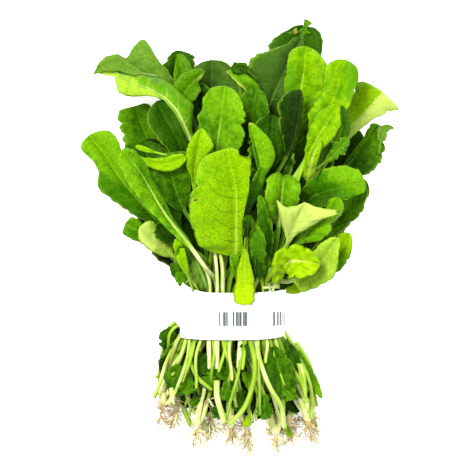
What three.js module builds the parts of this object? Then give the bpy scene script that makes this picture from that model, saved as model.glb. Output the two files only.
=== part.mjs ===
// A bunch of arugula, lying on its back and tied with a paper band.
// Each leaf is one solid, from its stem's end at the crown, through the band, to the tip of its blade.
// Units are millimetres. +Z is up, +Y runs from the roots to the leaf tips, +X is to the right.
// While the bunch is laid out, y = 0 is the middle of the band and z = 0 is the table; at the end the whole
// bunch is moved so that the origin is the middle of its footprint.
import * as THREE from "three";

// Stems
const STEM_RADIUS = 1.8;
const STEM_END_RADIUS = 1.35;
const END_BULGE = 0.35; // how far a stem's or a blade's end is domed
const STEM_FLARE = 0.2; // how far a stem leans out, towards its own place round the crown, half way down

// Blades
const BLADE_THICKNESS = 1.0;
const RIB_TIP_RADIUS = 0.7;
// Where a blade's sections are, as shares of its length, from its base
const BLADE_STATIONS = [0.12, 0.28, 0.45, 0.62, 0.78, 0.91, 0.98];
const FULL_BLADE_GROWTH = 8; // how much wider than its stem a blade is before it is fully flat

// The paper band: a strip wound once round the stems, its outer end overlapping its inner end
const BAND_WIDTH = 33;
const BAND_THICKNESS = 0.5;
const BAND_HALF_SPAN = 38.5; // across the bunch, in x
const BAND_HALF_HEIGHT = 22.6; // in z
const BAND_SQUARENESS = 2.5; // exponent of the superellipse that the strip follows
const BAND_OUTER_END = 148; // degrees round the loop, 0 being +X and 90 the top
const BAND_OVERLAP = 38; // degrees by which the ends overlap
const BAND_LAYER_GAP = 0.5; // between the two layers of the overlap
const BAND_CENTRE = { x: -0.8, y: 2.4 };
const BAND_SKEW = { angle: -180, reach: 75, rise: 9.5 }; // on the left, the strip climbs towards the leaves
const BAND_TILT = 3.6; // how far the top of the loop sits towards the roots
const BAND_STEPS = 56;

// Stems in the band stand in level rows. A row's half width leaves this much room beside the paper.
const ROW_MARGIN = 3.9;

// The pile: each leaf lies on what is below it, with this much air between them
const GAP = 1.6;
const CELL = 0.8;
const LIFT_PASSES = 5;

const FIELD = { left: -130, right: 130, bottom: -115, top: 225 };
const BAND_CLEAR = { halfSpan: 42, y: 27 }; // no leaf is lifted while it is still in the band's mouth

// Crowns: the stems that pass the band within one range of x, in its lower or upper half, meet at one crown
const CROWN_ROWS = [
  { name: "lower", from: 0, to: 23, z: 8.2 },
  { name: "upper", from: 23, to: 46, z: 23.2 },
];
const CROWN_COLUMNS = [
  { from: -40, to: -18, lower: [-39, -63], upper: [-48, -57] },
  { from: -18, to: -6, lower: [-14, -68], upper: [-24, -74] },
  { from: -6, to: 6, lower: [11, -77], upper: [0, -73] },
  { from: 6, to: 18, lower: [41, -71], upper: [31, -79] },
  { from: 18, to: 40, lower: [57, -64], upper: [54, -70] },
];
const CROWN_SPREAD = { across: 4.4, upward: 5.7 }; // how far apart the stems are at a crown
const CROWN_GAP = 1.0;

const COLOURS = { blade: 0x5fa614, dark: 0x2f6b12, crown: 0xcfc38c, paper: 0xf6f6f4 };

const smooth = (t) => t * t * (3 - 2 * t);
const clamp = (v, lo, hi) => Math.min(hi, Math.max(lo, v));
const radians = THREE.MathUtils.degToRad;

// A leaf: its name, the blade's greatest width and its length, and the plan of its midrib beyond the band.
// roll turns the blade about its midrib, cup raises its two edges (or lowers them, if it is negative), lean
// moves width to the right half from the left, widest is where the blade is widest, and base is how blunt
// its foot is, from 0 to 1. stemAt is the stem's place across the band, if it isn't the next in its row.
function leaf(name, width, blade, path, options = {}) {
  return { name, width, blade, path, roll: 0, cup: 14, lean: 0, widest: 0.62, base: 0.12, ...options };
}

// Rows of stems in the band, from the table up. Each row's leaves are laid in the order given.
const ROWS = [
  {
    stemHeight: 5.4,
    tipHeight: 2,
    leaves: [
      leaf("leaf_back_crest", 39, 84, [[26, 90], [44, 150], [51, 206]], { roll: -6, lean: -0.1 }),
      leaf("leaf_back_olive", 33, 78, [[-33, 72], [-54, 112], [-69, 148]], { roll: 8, widest: 0.7 }),
      leaf("leaf_back_toothed", 25, 60, [[-22, 85], [-42, 150], [-37, 188]], { roll: 12 }),
      leaf("leaf_back_right", 32, 66, [[34, 55], [70, 98], [90, 132]], { roll: 6 }),
      leaf("leaf_back_low_right", 31, 74, [[31, 32], [62, 60], [96, 95]], { roll: -8, widest: 0.55 }),
      leaf("leaf_back_middle", 44, 76, [[-4, 90], [-12, 140], [-15, 181]], { roll: 4, widest: 0.66 }),
    ],
  },
  {
    stemHeight: 11.4,
    tipHeight: 13,
    leaves: [
      leaf("leaf_inner_left", 34, 74, [[-22, 55], [-48, 86], [-64, 122]], { roll: 8 }),
      leaf("leaf_back_broad", 48, 84, [[12, 95], [28, 150], [50, 196]], { roll: 10, widest: 0.58 }),
      leaf("leaf_inner_rear", 34, 76, [[-6, 80], [-18, 125], [-25, 164]], { roll: -10 }),
      leaf("leaf_far_right", 33, 62, [[36, 48], [76, 96], [106, 134]], { roll: -12, lean: 0.3 }),
      leaf("leaf_lobed_wing", 32, 68, [[-16, 80], [-36, 142], [-60, 172], [-88, 176]], {
        roll: 14, lean: 0.2, widest: 0.45,
      }),
      leaf("leaf_inner_right", 34, 74, [[28, 60], [50, 95], [66, 128]], { roll: 6 }),
      leaf("leaf_rear_point", 17, 46, [[-12, 90], [-30, 150], [-39, 184]], { roll: 16 }),
    ],
  },
  {
    stemHeight: 17.4,
    tipHeight: 26,
    leaves: [
      leaf("leaf_rear_curved", 20, 48, [[-10, 85], [-36, 148], [-19, 172]], { roll: -8 }),
      leaf("leaf_left_dark", 35, 62, [[-14, 55], [-35, 115], [-53, 150]], { roll: 6 }),
      leaf("leaf_left_big", 35, 92, [[-28, 36], [-60, 73], [-84, 104], [-100, 127]], {
        roll: 10, widest: 0.74,
      }),
      leaf("leaf_rear_rolled", 17, 46, [[9, 85], [23, 142], [-3, 172]], { roll: 24, cup: 24 }),
      leaf("leaf_top_bright", 33, 64, [[18, 80], [44, 140], [54, 189]], { roll: -6, widest: 0.66 }),
      leaf("leaf_pale_fan", 33, 54, [[38, 62], [77, 121], [106, 158]], { roll: -6, cup: -22, widest: 0.8 }),
      leaf("leaf_small_left", 13, 26, [[-32, 28], [-58, 54], [-75, 64]], { roll: 0 }),
      leaf("leaf_inner_low", 26, 54, [[8, 45], [18, 70], [26, 100]], { roll: -6 }),
    ],
  },
  {
    stemHeight: 23.4,
    tipHeight: 40,
    leaves: [
      leaf("leaf_shaded_rear", 27, 56, [[4, 75], [12, 120], [18, 159]], { roll: -8 }),
      leaf("leaf_shaded_centre", 42, 72, [[10, 60], [26, 100], [29, 140]], { roll: 8, widest: 0.66 }),
      leaf("leaf_draped_left", 25, 88, [[-14, 80], [-27, 122], [-44, 150], [-66, 162], [-94, 169]], {
        roll: 14, cup: -20, lean: 0.15, widest: 0.45,
      }),
      leaf("leaf_shaded_right", 24, 50, [[18, 70], [42, 118], [48, 158]], { roll: 10, lean: -0.35 }),
      leaf("leaf_right_big", 33, 78, [[26, 60], [54, 112], [70, 146], [80, 179]], {
        roll: -10, widest: 0.66,
      }),
      leaf("leaf_left_underside", 15, 32, [[-28, 27], [-46, 46], [-64, 62]], { roll: 18 }),
      leaf("leaf_inner_low_left", 26, 56, [[-20, 38], [-27, 62], [-33, 92]], { roll: 10 }),
    ],
  },
  {
    stemHeight: 29.2,
    tipHeight: 54,
    leaves: [
      leaf("leaf_right_rounded", 27, 58, [[32, 45], [56, 82], [94, 92]], { roll: -4, widest: 0.66 }),
      leaf("leaf_glossy_left", 15, 40, [[-30, 40], [-36, 62], [-45, 92]], { roll: -16 }),
      leaf("leaf_middle_round", 36, 62, [[-2, 60], [-10, 112], [-4, 160]], { roll: -4, widest: 0.64 }),
      leaf("leaf_right_stalked", 18, 42, [[34, 62], [54, 112], [74, 147]], { roll: -14, widest: 0.62 }),
      leaf("leaf_folded_left", 34, 44, [[-16, 45], [-36, 80], [-46, 113]], {
        roll: 4, widest: 0.84, base: 0.3,
      }),
      leaf("leaf_right_low", 18, 34, [[43, 25], [68, 33], [83, 57]], { roll: -10 }),
    ],
  },
  {
    stemHeight: 34.8,
    tipHeight: 65,
    leaves: [
      leaf("leaf_yellow_tip", 17, 44, [[14, 45], [20, 102], [13, 134]], { roll: 22, lean: 0.3 }),
      leaf("leaf_bright_left", 21, 42, [[-10, 45], [-26, 92], [-20, 130]], { roll: 10 }),
      leaf("leaf_cupped_right", 28, 40, [[28, 40], [33, 72], [38, 99]], {
        roll: 6, cup: 30, widest: 0.72, base: 0.2,
      }),
      leaf("leaf_right_shade", 24, 36, [[34, 34], [48, 52], [66, 72]], { roll: -8, widest: 0.66 }),
      leaf("leaf_dark_low_left", 15, 26, [[-25, 27], [-30, 36], [-36, 49]], { roll: 8 }),
      leaf("leaf_right_lobed", 29, 48, [[38, 23], [57, 31], [74, 54]], { roll: -6, widest: 0.55, base: 0.3 }),
    ],
  },
  {
    stemHeight: 39.6,
    tipHeight: 74,
    leaves: [
      leaf("leaf_narrow_upright", 11, 42, [[11, 45], [12, 72], [21, 103]], { roll: 30, cup: 6, stemAt: 10 }),
      leaf("leaf_long_left", 22, 88, [[-19, 36], [-43, 67], [-62, 97], [-75, 115]], {
        roll: 12, widest: 0.66, cup: 20, lean: -0.3, stemAt: -11,
      }),
      leaf("leaf_pale_folded", 44, 34, [[34, 38], [43, 60], [52, 78]], {
        roll: 6, cup: 18, widest: 0.86, stemAt: 17,
      }),
      leaf("leaf_crumpled", 23, 36, [[29, 31], [40, 38], [61, 35]], {
        roll: 4, widest: 0.55, base: 0.3, stemAt: 24,
      }),
      leaf("leaf_front_centre", 47, 78, [[3, 38], [4, 75], [-2, 116]], {
        roll: 4, cup: 8, lean: -0.42, base: 0.4, stemAt: -2,
      }),
    ],
  },
];

// Small leaves below the band, lying on the stems: each starts beside a crown.
const LOWER_LEAVES = [
  leaf("lower_leaf_right", 20, 40, [[37, -68], [36, -50], [30, -22]], { widest: 0.6, base: 0.2 }),
  leaf("lower_leaf_middle", 9, 26, [[3, -62], [-1, -47], [-16, -33]], { widest: 0.5, base: 0.2 }),
  leaf("lower_leaf_left", 14, 24, [[-41, -60], [-42, -50], [-35, -36]], { widest: 0.5, base: 0.2 }),
];

// A leaf that has bent over and hangs across the front of the band.
const HANGING_LEAF = leaf("leaf_over_band", 13, 42, [[11, 56], [10, 40], [9, 22], [8, 7]], {
  widest: 0.72, cup: -14, base: 0.1,
});

// How high the solids laid down so far reach, on a square grid.
class Pile {
  constructor() {
    this.columns = Math.ceil((FIELD.right - FIELD.left) / CELL);
    this.rows = Math.ceil((FIELD.top - FIELD.bottom) / CELL);
    this.height = new Float32Array(this.columns * this.rows).fill(-GAP); // so that leaves can touch the table
  }
  cell(x, y) {
    const column = clamp(Math.floor((x - FIELD.left) / CELL), 1, this.columns - 2);
    const row = clamp(Math.floor((y - FIELD.bottom) / CELL), 1, this.rows - 2);
    return row * this.columns + column;
  }
  add(point) {
    const at = this.cell(point.x, point.y);
    this.height[at] = Math.max(this.height[at], point.z);
  }
  near(point) {
    const middle = this.cell(point.x, point.y);
    let highest = -GAP;
    for (const row of [-this.columns, 0, this.columns])
      for (const column of [-1, 0, 1]) highest = Math.max(highest, this.height[middle + row + column]);
    return highest;
  }
}
const pile = new Pile();

// A section of eight points, clockwise from the left edge as the tip is looked at from the base.
const SECTION_POINTS = 8;
const TOP_SIDES = [0, 1, 2, 3];
const BOTTOM_SIDES = [4, 5, 6, 7];

// Calls use(point) over the patches between two sections, on the given sides, closer together than the cells.
function sample(near, far, sides, use) {
  const step = CELL * 0.75;
  for (const side of sides) {
    const next = (side + 1) % SECTION_POINTS;
    const corners = [near[side], near[next], far[next], far[side]];
    const apart = (a, b) => corners[a].distanceTo(corners[b]);
    const along = Math.ceil(Math.max(apart(0, 3), apart(1, 2)) / step);
    const across = Math.ceil(Math.max(apart(0, 1), apart(3, 2)) / step);
    const start = new THREE.Vector3();
    const end = new THREE.Vector3();
    const point = new THREE.Vector3();
    for (let i = 0; i <= along; i++) {
      start.lerpVectors(corners[0], corners[3], i / along);
      end.lerpVectors(corners[1], corners[2], i / along);
      for (let j = 0; j <= across; j++) use(point.lerpVectors(start, end, j / across));
    }
  }
}

// Raises the sections from firstFree on until nothing lies closer than GAP below them.
function layOnPile(sections, firstFree) {
  const lift = sections.map(() => 0);
  for (let i = Math.max(firstFree - 1, 0); i < sections.length - 1; i++)
    sample(sections[i], sections[i + 1], BOTTOM_SIDES, (p) => {
      if (firstFree && Math.abs(p.x) < BAND_CLEAR.halfSpan && p.y < BAND_CLEAR.y) return;
      const wanted = pile.near(p) + GAP - p.z;
      lift[i] = Math.max(lift[i], wanted);
      lift[i + 1] = Math.max(lift[i + 1], wanted);
    });
  for (let i = 0; i < firstFree; i++) lift[i] = 0;
  for (let pass = 0; pass < LIFT_PASSES; pass++)
    for (let i = Math.max(firstFree, 1); i < sections.length; i++) {
      const next = lift[Math.min(i + 1, sections.length - 1)];
      lift[i] = Math.max(lift[i], (lift[i - 1] + next) / 2);
    }
  sections.forEach((section, i) => section.forEach((p) => (p.z += lift[i])));
}

function addToPile(sections) {
  for (let i = 0; i < sections.length - 1; i++)
    sample(sections[i], sections[i + 1], TOP_SIDES, (p) => pile.add(p));
}

// A closed solid through the sections, with a point just past each end.
function loft(sections) {
  const centre = (section) => section.reduce((sum, p) => sum.add(p), new THREE.Vector3()).divideScalar(8);
  const past = (end, inner) => {
    const middle = centre(end);
    return middle.clone().sub(centre(inner)).setLength(END_BULGE).add(middle);
  };
  const points = [past(sections[0], sections[1]), ...sections.flat(), past(sections.at(-1), sections.at(-2))];
  const at = (i, j) => 1 + i * SECTION_POINTS + (j % SECTION_POINTS);
  const last = sections.length - 1;
  const tip = points.length - 1;
  const faces = [];
  for (let j = 0; j < SECTION_POINTS; j++) {
    faces.push(0, at(0, j + 1), at(0, j));
    faces.push(tip, at(last, j), at(last, j + 1));
    for (let i = 0; i < last; i++) {
      faces.push(at(i, j), at(i, j + 1), at(i + 1, j + 1));
      faces.push(at(i, j), at(i + 1, j + 1), at(i + 1, j));
    }
  }
  const geometry = new THREE.BufferGeometry().setFromPoints(points);
  geometry.setIndex(faces);
  geometry.computeVertexNormals();
  return geometry;
}

// The section's frame at each centre: right, up and forward, turned about forward by the roll there.
function frames(centres, rolls) {
  return centres.map((centre, i) => {
    const before = centres[Math.max(i - 1, 0)];
    const after = centres[Math.min(i + 1, centres.length - 1)];
    const forward = after.clone().sub(before).normalize();
    const right = forward.clone().cross(new THREE.Vector3(0, 0, 1)).normalize();
    right.applyAxisAngle(forward, radians(rolls[i]));
    const up = right.clone().cross(forward);
    return { centre, right, up };
  });
}

// One section of a leaf. A stem's is a circle, and a blade's a thin strip bent up at the edges by cup.
function leafSection(frame, left, right, rib, cup) {
  const place = (x, z) => frame.centre.clone().addScaledVector(frame.right, x).addScaledVector(frame.up, z);
  const half = (width, side) => {
    const flat = clamp((width - rib) / FULL_BLADE_GROWTH, 0, 1);
    const thick = THREE.MathUtils.lerp(rib * Math.SQRT1_2, BLADE_THICKNESS / 2, flat);
    const middle = THREE.MathUtils.lerp(rib * Math.SQRT1_2, width / 2, flat);
    const bend = radians(cup) * flat;
    const x = side * middle * Math.cos(bend / 2);
    const z = middle * Math.sin(bend / 2);
    return {
      edge: place(side * width * Math.cos(bend), width * Math.sin(bend)),
      top: place(x, z + thick),
      bottom: place(x, z - thick),
    };
  };
  const l = half(left, -1);
  const r = half(right, 1);
  return [l.edge, l.top, place(0, rib), r.top, r.edge, r.bottom, place(0, -rib), l.bottom];
}

// The half width of a blade at share t of its length, as a share of its greatest half width.
function outline(t, widest, base) {
  if (t < widest) return base + (1 - base) * smooth(t / widest);
  return Math.sqrt(1 - ((t - widest) / (1 - widest)) ** 2.2);
}

// Sections along a leaf whose stem stations are given and whose blade follows them.
function leafSections(spec, stem, beyond) {
  const curve = new THREE.CatmullRomCurve3(beyond, false, "centripetal");
  const length = curve.getLength();
  const foot = Math.max(length - spec.blade, 4);
  const blade = length - foot;
  const shares = [foot * 0.5, foot, ...BLADE_STATIONS.map((t) => foot + t * blade)].map((s) => s / length);
  const centres = [...stem, ...shares.map((share) => curve.getPointAt(share))];
  const inBlade = [...stem.map(() => 0), 0, 0.001, ...BLADE_STATIONS];
  const rolls = inBlade.map((t, i) => (i < stem.length ? 0 : t ? spec.roll : spec.roll / 2));
  return frames(centres, rolls).map((frame, i) => {
    const t = inBlade[i];
    const stemRadius = i === 0 ? STEM_END_RADIUS : STEM_RADIUS;
    if (!t) return leafSection(frame, stemRadius, stemRadius, stemRadius, 0);
    const rib = THREE.MathUtils.lerp(STEM_RADIUS, RIB_TIP_RADIUS, t);
    const reach = (spec.width / 2) * outline(t, spec.widest, spec.base);
    const left = Math.max(reach * (1 - spec.lean), rib);
    const right = Math.max(reach * (1 + spec.lean), rib);
    return leafSection(frame, left, right, rib, spec.cup);
  });
}

// Half the band's inner width at height z.
function bandHalfWidthAt(z) {
  const share = Math.abs(z - BAND_HALF_HEIGHT) / BAND_HALF_HEIGHT;
  return BAND_HALF_SPAN * (1 - share ** BAND_SQUARENESS) ** (1 / BAND_SQUARENESS);
}

// The crown that a stem passing the band at (x, z) grows from.
function crownOf(x, z) {
  const column = CROWN_COLUMNS.find((c) => x >= c.from && x < c.to);
  const row = CROWN_ROWS.find((r) => z >= r.from && z < r.to);
  const across = (2 * x - column.from - column.to) / (column.to - column.from);
  const upward = (2 * z - row.from - row.to) / (row.to - row.from);
  return { across, upward, at: new THREE.Vector3(...column[row.name], row.z) };
}

// The stem's stations: at the crown, half way to the band, and at the band's two edges.
function stemStations(x, z) {
  const crown = crownOf(x, z);
  const ring = new THREE.Vector3(crown.across * CROWN_SPREAD.across, 0, crown.upward * CROWN_SPREAD.upward);
  const foot = crown.at.clone().add(ring);
  foot.y += CROWN_GAP + 2;
  const low = new THREE.Vector3(x, -20, z);
  const middle = foot.clone().lerp(low, 0.5).addScaledVector(ring, STEM_FLARE);
  return [foot, middle, low, new THREE.Vector3(x, 23, z)];
}

// A crown and its taproot, which bends down towards the table, as sections from the root's tip to the stems.
function crownSections(at) {
  const profile = [
    { y: 1.6, r: 4.0 }, { y: 0, r: 5.2 }, { y: -3, r: 4.4 }, { y: -6.5, r: 2.5 },
    { y: -11, r: 1.6 }, { y: -16, r: 1.0 }, { y: -20, r: 0.5 },
  ];
  const rootEnd = at.z * 0.35 - 1.9;
  const centres = profile.map(({ y }) => {
    const drop = smooth(clamp(-y / 20, 0, 1));
    return new THREE.Vector3(at.x + drop * at.x * 0.05, at.y + y, THREE.MathUtils.lerp(at.z, rootEnd, drop));
  });
  centres.reverse();
  profile.reverse();
  return frames(centres, centres.map(() => 0)).map((frame, i) => {
    const { r } = profile[i];
    return leafSection(frame, r, r, r, 0);
  });
}

// The strip of the band as sections of four points, from its outer end to its inner end.
function bandSections() {
  const turn = 360 + BAND_OVERLAP;
  const power = (v) => Math.sign(v) * Math.abs(v) ** (2 / BAND_SQUARENESS);
  return Array.from({ length: BAND_STEPS + 1 }, (_, i) => {
    const turned = (turn * i) / BAND_STEPS;
    const angle = radians(BAND_OUTER_END - turned);
    const inward = (BAND_THICKNESS + BAND_LAYER_GAP) * (turned / 360);
    const offSkew = Math.abs(BAND_OUTER_END - turned - BAND_SKEW.angle);
    const skew = smooth(clamp(1 - offSkew / BAND_SKEW.reach, 0, 1));
    const y = BAND_CENTRE.y + BAND_SKEW.rise * skew - BAND_TILT * Math.sin(angle);
    const edge = (offset, side) => {
      const x = BAND_CENTRE.x + (BAND_HALF_SPAN + offset - inward) * power(Math.cos(angle));
      const z = BAND_HALF_HEIGHT + (BAND_HALF_HEIGHT + offset - inward) * power(Math.sin(angle));
      const floor = BAND_THICKNESS + 0.9 - offset;
      return new THREE.Vector3(x, y + (side * BAND_WIDTH) / 2, Math.max(z, floor));
    };
    const outer = BAND_THICKNESS + 0.9;
    const inner = 0.9;
    return [edge(inner, -1), edge(outer, -1), edge(outer, 1), edge(inner, 1)];
  });
}

function bandGeometry() {
  const sections = bandSections();
  const faces = [0, 1, 2, 0, 2, 3];
  const last = sections.length - 1;
  for (let i = 0; i < last; i++)
    for (let j = 0; j < 4; j++) {
      const [a, b] = [i * 4 + j, i * 4 + ((j + 1) % 4)];
      faces.push(a, a + 4, b, b, a + 4, b + 4);
    }
  faces.push(last * 4, last * 4 + 2, last * 4 + 1, last * 4, last * 4 + 3, last * 4 + 2);
  const geometry = new THREE.BufferGeometry().setFromPoints(sections.flat());
  geometry.setIndex(faces);
  geometry.computeVertexNormals();
  return geometry;
}

function material(colour, roughness) {
  return new THREE.MeshStandardMaterial({ color: colour, roughness, metalness: 0, side: THREE.DoubleSide });
}

const bunch = new THREE.Group();
bunch.name = "arugula_bunch";
const green = material(COLOURS.blade, 0.5);
const darkGreen = material(COLOURS.dark, 0.45);
const cream = material(COLOURS.crown, 0.8);
const paper = material(COLOURS.paper, 0.9);

function addMesh(name, geometry, finish) {
  const mesh = new THREE.Mesh(geometry, finish);
  mesh.name = name;
  bunch.add(mesh);
  return mesh;
}

// The leaves, row by row. In a row, the stems stand in the order of their leaves, from left to right.
for (const row of ROWS) {
  const halfWidth = bandHalfWidthAt(row.stemHeight) - ROW_MARGIN;
  const heading = (spec) => spec.path[0][0] / spec.path[0][1];
  const leftToRight = [...row.leaves].sort((a, b) => heading(a) - heading(b));
  for (const spec of row.leaves) {
    const place = leftToRight.indexOf(spec) / (row.leaves.length - 1);
    const stem = stemStations(spec.stemAt ?? halfWidth * (2 * place - 1), row.stemHeight);
    const tip = row.tipHeight;
    const ends = [stem.at(-1), ...spec.path.map(([x, y]) => new THREE.Vector3(x, y, 0))];
    const runs = [0];
    for (let i = 1; i < ends.length; i++)
      runs.push(runs[i - 1] + Math.hypot(ends[i].x - ends[i - 1].x, ends[i].y - ends[i - 1].y));
    for (let i = 1; i < ends.length; i++)
      ends[i].z = THREE.MathUtils.lerp(row.stemHeight, tip, runs[i] / runs.at(-1));
    const sections = leafSections(spec, stem, ends);
    layOnPile(sections, stem.length);
    addToPile(sections);
    addMesh(spec.name, loft(sections), row.tipHeight < 30 ? darkGreen : green);
  }
}

// The crowns, each with its taproot.
for (const row of CROWN_ROWS)
  CROWN_COLUMNS.forEach((column, c) => {
    const sections = crownSections(new THREE.Vector3(...column[row.name], row.z));
    addToPile(sections);
    addMesh(`crown_${row.name}_${c + 1}`, loft(sections), cream);
  });

// The band, whose outer face joins the pile so that the hanging leaf lies on it.
addMesh("paper_band", bandGeometry(), paper);
const strip = bandSections();
for (let i = 0; i < strip.length - 1; i++) {
  const outerEdges = (section) => [section[1], section[2]];
  sample(outerEdges(strip[i]), outerEdges(strip[i + 1]), [0], (p) => pile.add(p));
}

// The small leaves below the band and the leaf that hangs over it have no stem in the band.
for (const spec of [...LOWER_LEAVES, HANGING_LEAF]) {
  const points = spec.path.map(([x, y]) => new THREE.Vector3(x, y, 8));
  const sections = leafSections(spec, [points[0]], points);
  layOnPile(sections, 0);
  addToPile(sections);
  addMesh(spec.name, loft(sections), green);
}

// The origin: the middle of the footprint, on the table.
const box = new THREE.Box3().setFromObject(bunch);
bunch.position.set(-(box.min.x + box.max.x) / 2, -(box.min.y + box.max.y) / 2, -box.min.z);

export default bunch;
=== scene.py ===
"""A bunch of arugula lying on its back, tied with a paper band, seen from straight above.

Each leaf is one solid in the CAD model. Its rings of vertices are found again here, and give the midrib, the
widths and the bend of a much finer blade with veins, swells, folds and a wavy margin. The crowns get sheaths
and roots, the band becomes thin paper, and small loose stems and leaves fill in round them.
Lengths are in metres, unless a name says millimetres or MM multiplies them.
"""
import math

import bpy
import numpy as np
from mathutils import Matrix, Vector
from mathutils.bvhtree import BVHTree


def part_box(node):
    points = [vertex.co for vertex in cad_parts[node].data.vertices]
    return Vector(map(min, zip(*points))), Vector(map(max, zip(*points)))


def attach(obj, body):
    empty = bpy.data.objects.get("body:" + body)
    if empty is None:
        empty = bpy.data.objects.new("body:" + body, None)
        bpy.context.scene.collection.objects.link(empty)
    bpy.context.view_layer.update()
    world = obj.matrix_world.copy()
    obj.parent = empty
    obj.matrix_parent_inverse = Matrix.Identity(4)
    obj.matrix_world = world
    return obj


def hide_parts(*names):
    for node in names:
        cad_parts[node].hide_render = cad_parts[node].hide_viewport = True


MM = 0.001

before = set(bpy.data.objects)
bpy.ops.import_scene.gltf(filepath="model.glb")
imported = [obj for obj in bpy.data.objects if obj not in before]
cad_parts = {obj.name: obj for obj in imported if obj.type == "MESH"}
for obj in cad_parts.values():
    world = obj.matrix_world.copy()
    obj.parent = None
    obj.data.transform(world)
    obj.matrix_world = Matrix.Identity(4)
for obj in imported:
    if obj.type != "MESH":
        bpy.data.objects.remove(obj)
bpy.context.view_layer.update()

# The middle of the band's front, from which the loose pieces are placed in millimetres
BAND_BOX = np.array(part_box("paper_band"))
BAND_MIDDLE = BAND_BOX.mean(axis=0)[:2] + np.array((0.5, -5.4)) * MM


# ---------------------------------------------------------------- small helpers


def smooth(t):
    """Eases from 0 to 1."""
    t = np.clip(t, 0.0, 1.0)
    return t * t * (3.0 - 2.0 * t)


def unit(vectors):
    """The vectors, scaled to length 1."""
    return vectors / np.maximum(np.linalg.norm(vectors, axis=-1, keepdims=True), 1e-12)


def distances(points):
    """How far along a line each of its points is."""
    steps = np.linalg.norm(np.diff(points, axis=0), axis=1)
    return np.concatenate([[0.0], np.cumsum(steps)])


def spline(at, knots, values):
    """A smooth curve through values at the knots, read at the given places."""
    values = np.asarray(values, float)
    flat = values.reshape(len(knots), -1)
    step = np.diff(knots)
    slope = np.diff(flat, axis=0) / step[:, None]
    tangent = np.empty_like(flat)
    tangent[0] = slope[0]
    tangent[-1] = slope[-1]
    weight = (step[1:] / (step[1:] + step[:-1]))[:, None]
    tangent[1:-1] = slope[:-1] * weight + slope[1:] * (1.0 - weight)
    span = np.clip(np.searchsorted(knots, at, side="right") - 1, 0, len(step) - 1)
    t = np.clip((at - knots[span]) / step[span], 0.0, 1.0)[:, None]
    h = step[span][:, None]
    near, far = flat[span], flat[span + 1]
    leave, arrive = tangent[span] * h, tangent[span + 1] * h
    curve = (
        near * (2 * t**3 - 3 * t**2 + 1)
        + leave * (t**3 - 2 * t**2 + t)
        + far * (3 * t**2 - 2 * t**3)
        + arrive * (t**3 - t**2)
    )
    return curve.reshape((len(at),) + values.shape[1:])


def resampled(points, spacing):
    """A smooth line through the points, with points about evenly spaced along it."""
    points = np.asarray(points, float)
    knots = distances(points)
    count = max(int(math.ceil(knots[-1] / spacing)), 3)
    return spline(np.linspace(0.0, knots[-1], count + 1), knots, points)


def spread(values, reach, pick):
    """Each value of a grid replaced by pick (such as np.min) of the values near it."""
    padded = np.pad(values, reach, mode="edge")
    rows, columns = values.shape
    steps = range(2 * reach + 1)
    return pick([padded[i : i + rows, j : j + columns] for i in steps for j in steps], axis=0)


class Waves:
    """Smooth, repeatable noise along a line: a few sine waves with seeded phases."""

    def __init__(self, rng, shortest, longest, count=6):
        self.length = np.exp(rng.uniform(math.log(shortest), math.log(longest), count))
        self.phase = rng.uniform(0, 2 * math.pi, count)
        self.height = (self.length / longest) ** 0.6
        self.height = self.height / self.height.sum() * 1.6

    def __call__(self, x):
        turns = 2 * math.pi * np.asarray(x)[..., None] / self.length + self.phase
        return (np.sin(turns) * self.height).sum(axis=-1)


class Swells:
    """The same over a sheet, as waves that run in several directions."""

    def __init__(self, rng, shortest, longest, count=8):
        length = np.exp(rng.uniform(math.log(shortest), math.log(longest), count))
        heading = rng.uniform(0, math.pi, count)
        self.across = 2 * math.pi * np.cos(heading) / length
        self.along = 2 * math.pi * np.sin(heading) / length
        self.phase = rng.uniform(0, 2 * math.pi, count)
        self.height = (length / longest) ** 0.9
        self.height = self.height / self.height.sum() * 1.8

    def __call__(self, x, y):
        x, y = np.broadcast_arrays(x, y)
        turns = x[..., None] * self.across + y[..., None] * self.along + self.phase
        return (np.sin(turns) * self.height).sum(axis=-1)


# ---------------------------------------------------------------- reading the CAD solids


def cad_mesh(node):
    """A CAD node's points and triangles."""
    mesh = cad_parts[node].data
    mesh.calc_loop_triangles()
    points = np.empty(len(mesh.vertices) * 3)
    mesh.vertices.foreach_get("co", points)
    triangles = np.empty(len(mesh.loop_triangles) * 3, dtype=np.int32)
    mesh.loop_triangles.foreach_get("vertices", triangles)
    return points.reshape(-1, 3), triangles.reshape(-1, 3)


def merged(node):
    """A CAD node's points without doubles, and each point's neighbours."""
    corners, triangles = cad_mesh(node)
    points, index = np.unique(np.round(corners, 6), axis=0, return_inverse=True)
    index = index.reshape(-1)
    near = [set() for _ in points]
    for a, b, c in index[triangles]:
        near[a].update((b, c))
        near[b].update((a, c))
        near[c].update((a, b))
    for i, found in enumerate(near):
        found.discard(i)
    return points, near


def levels(near, first):
    """Groups of points, by how many edges they are away from the first ones."""
    level = set(first)
    seen = set(first)
    found = []
    while level:
        found.append(level)
        level = set().union(*(near[p] for p in level)) - seen
        seen |= level
    return found


def in_order(near, level):
    """The points of one closed ring, in order round it."""
    ring = [min(level)]
    while len(ring) < len(level):
        ring.append(min(p for p in near[ring[-1]] & level if p not in ring))
    return ring


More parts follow.
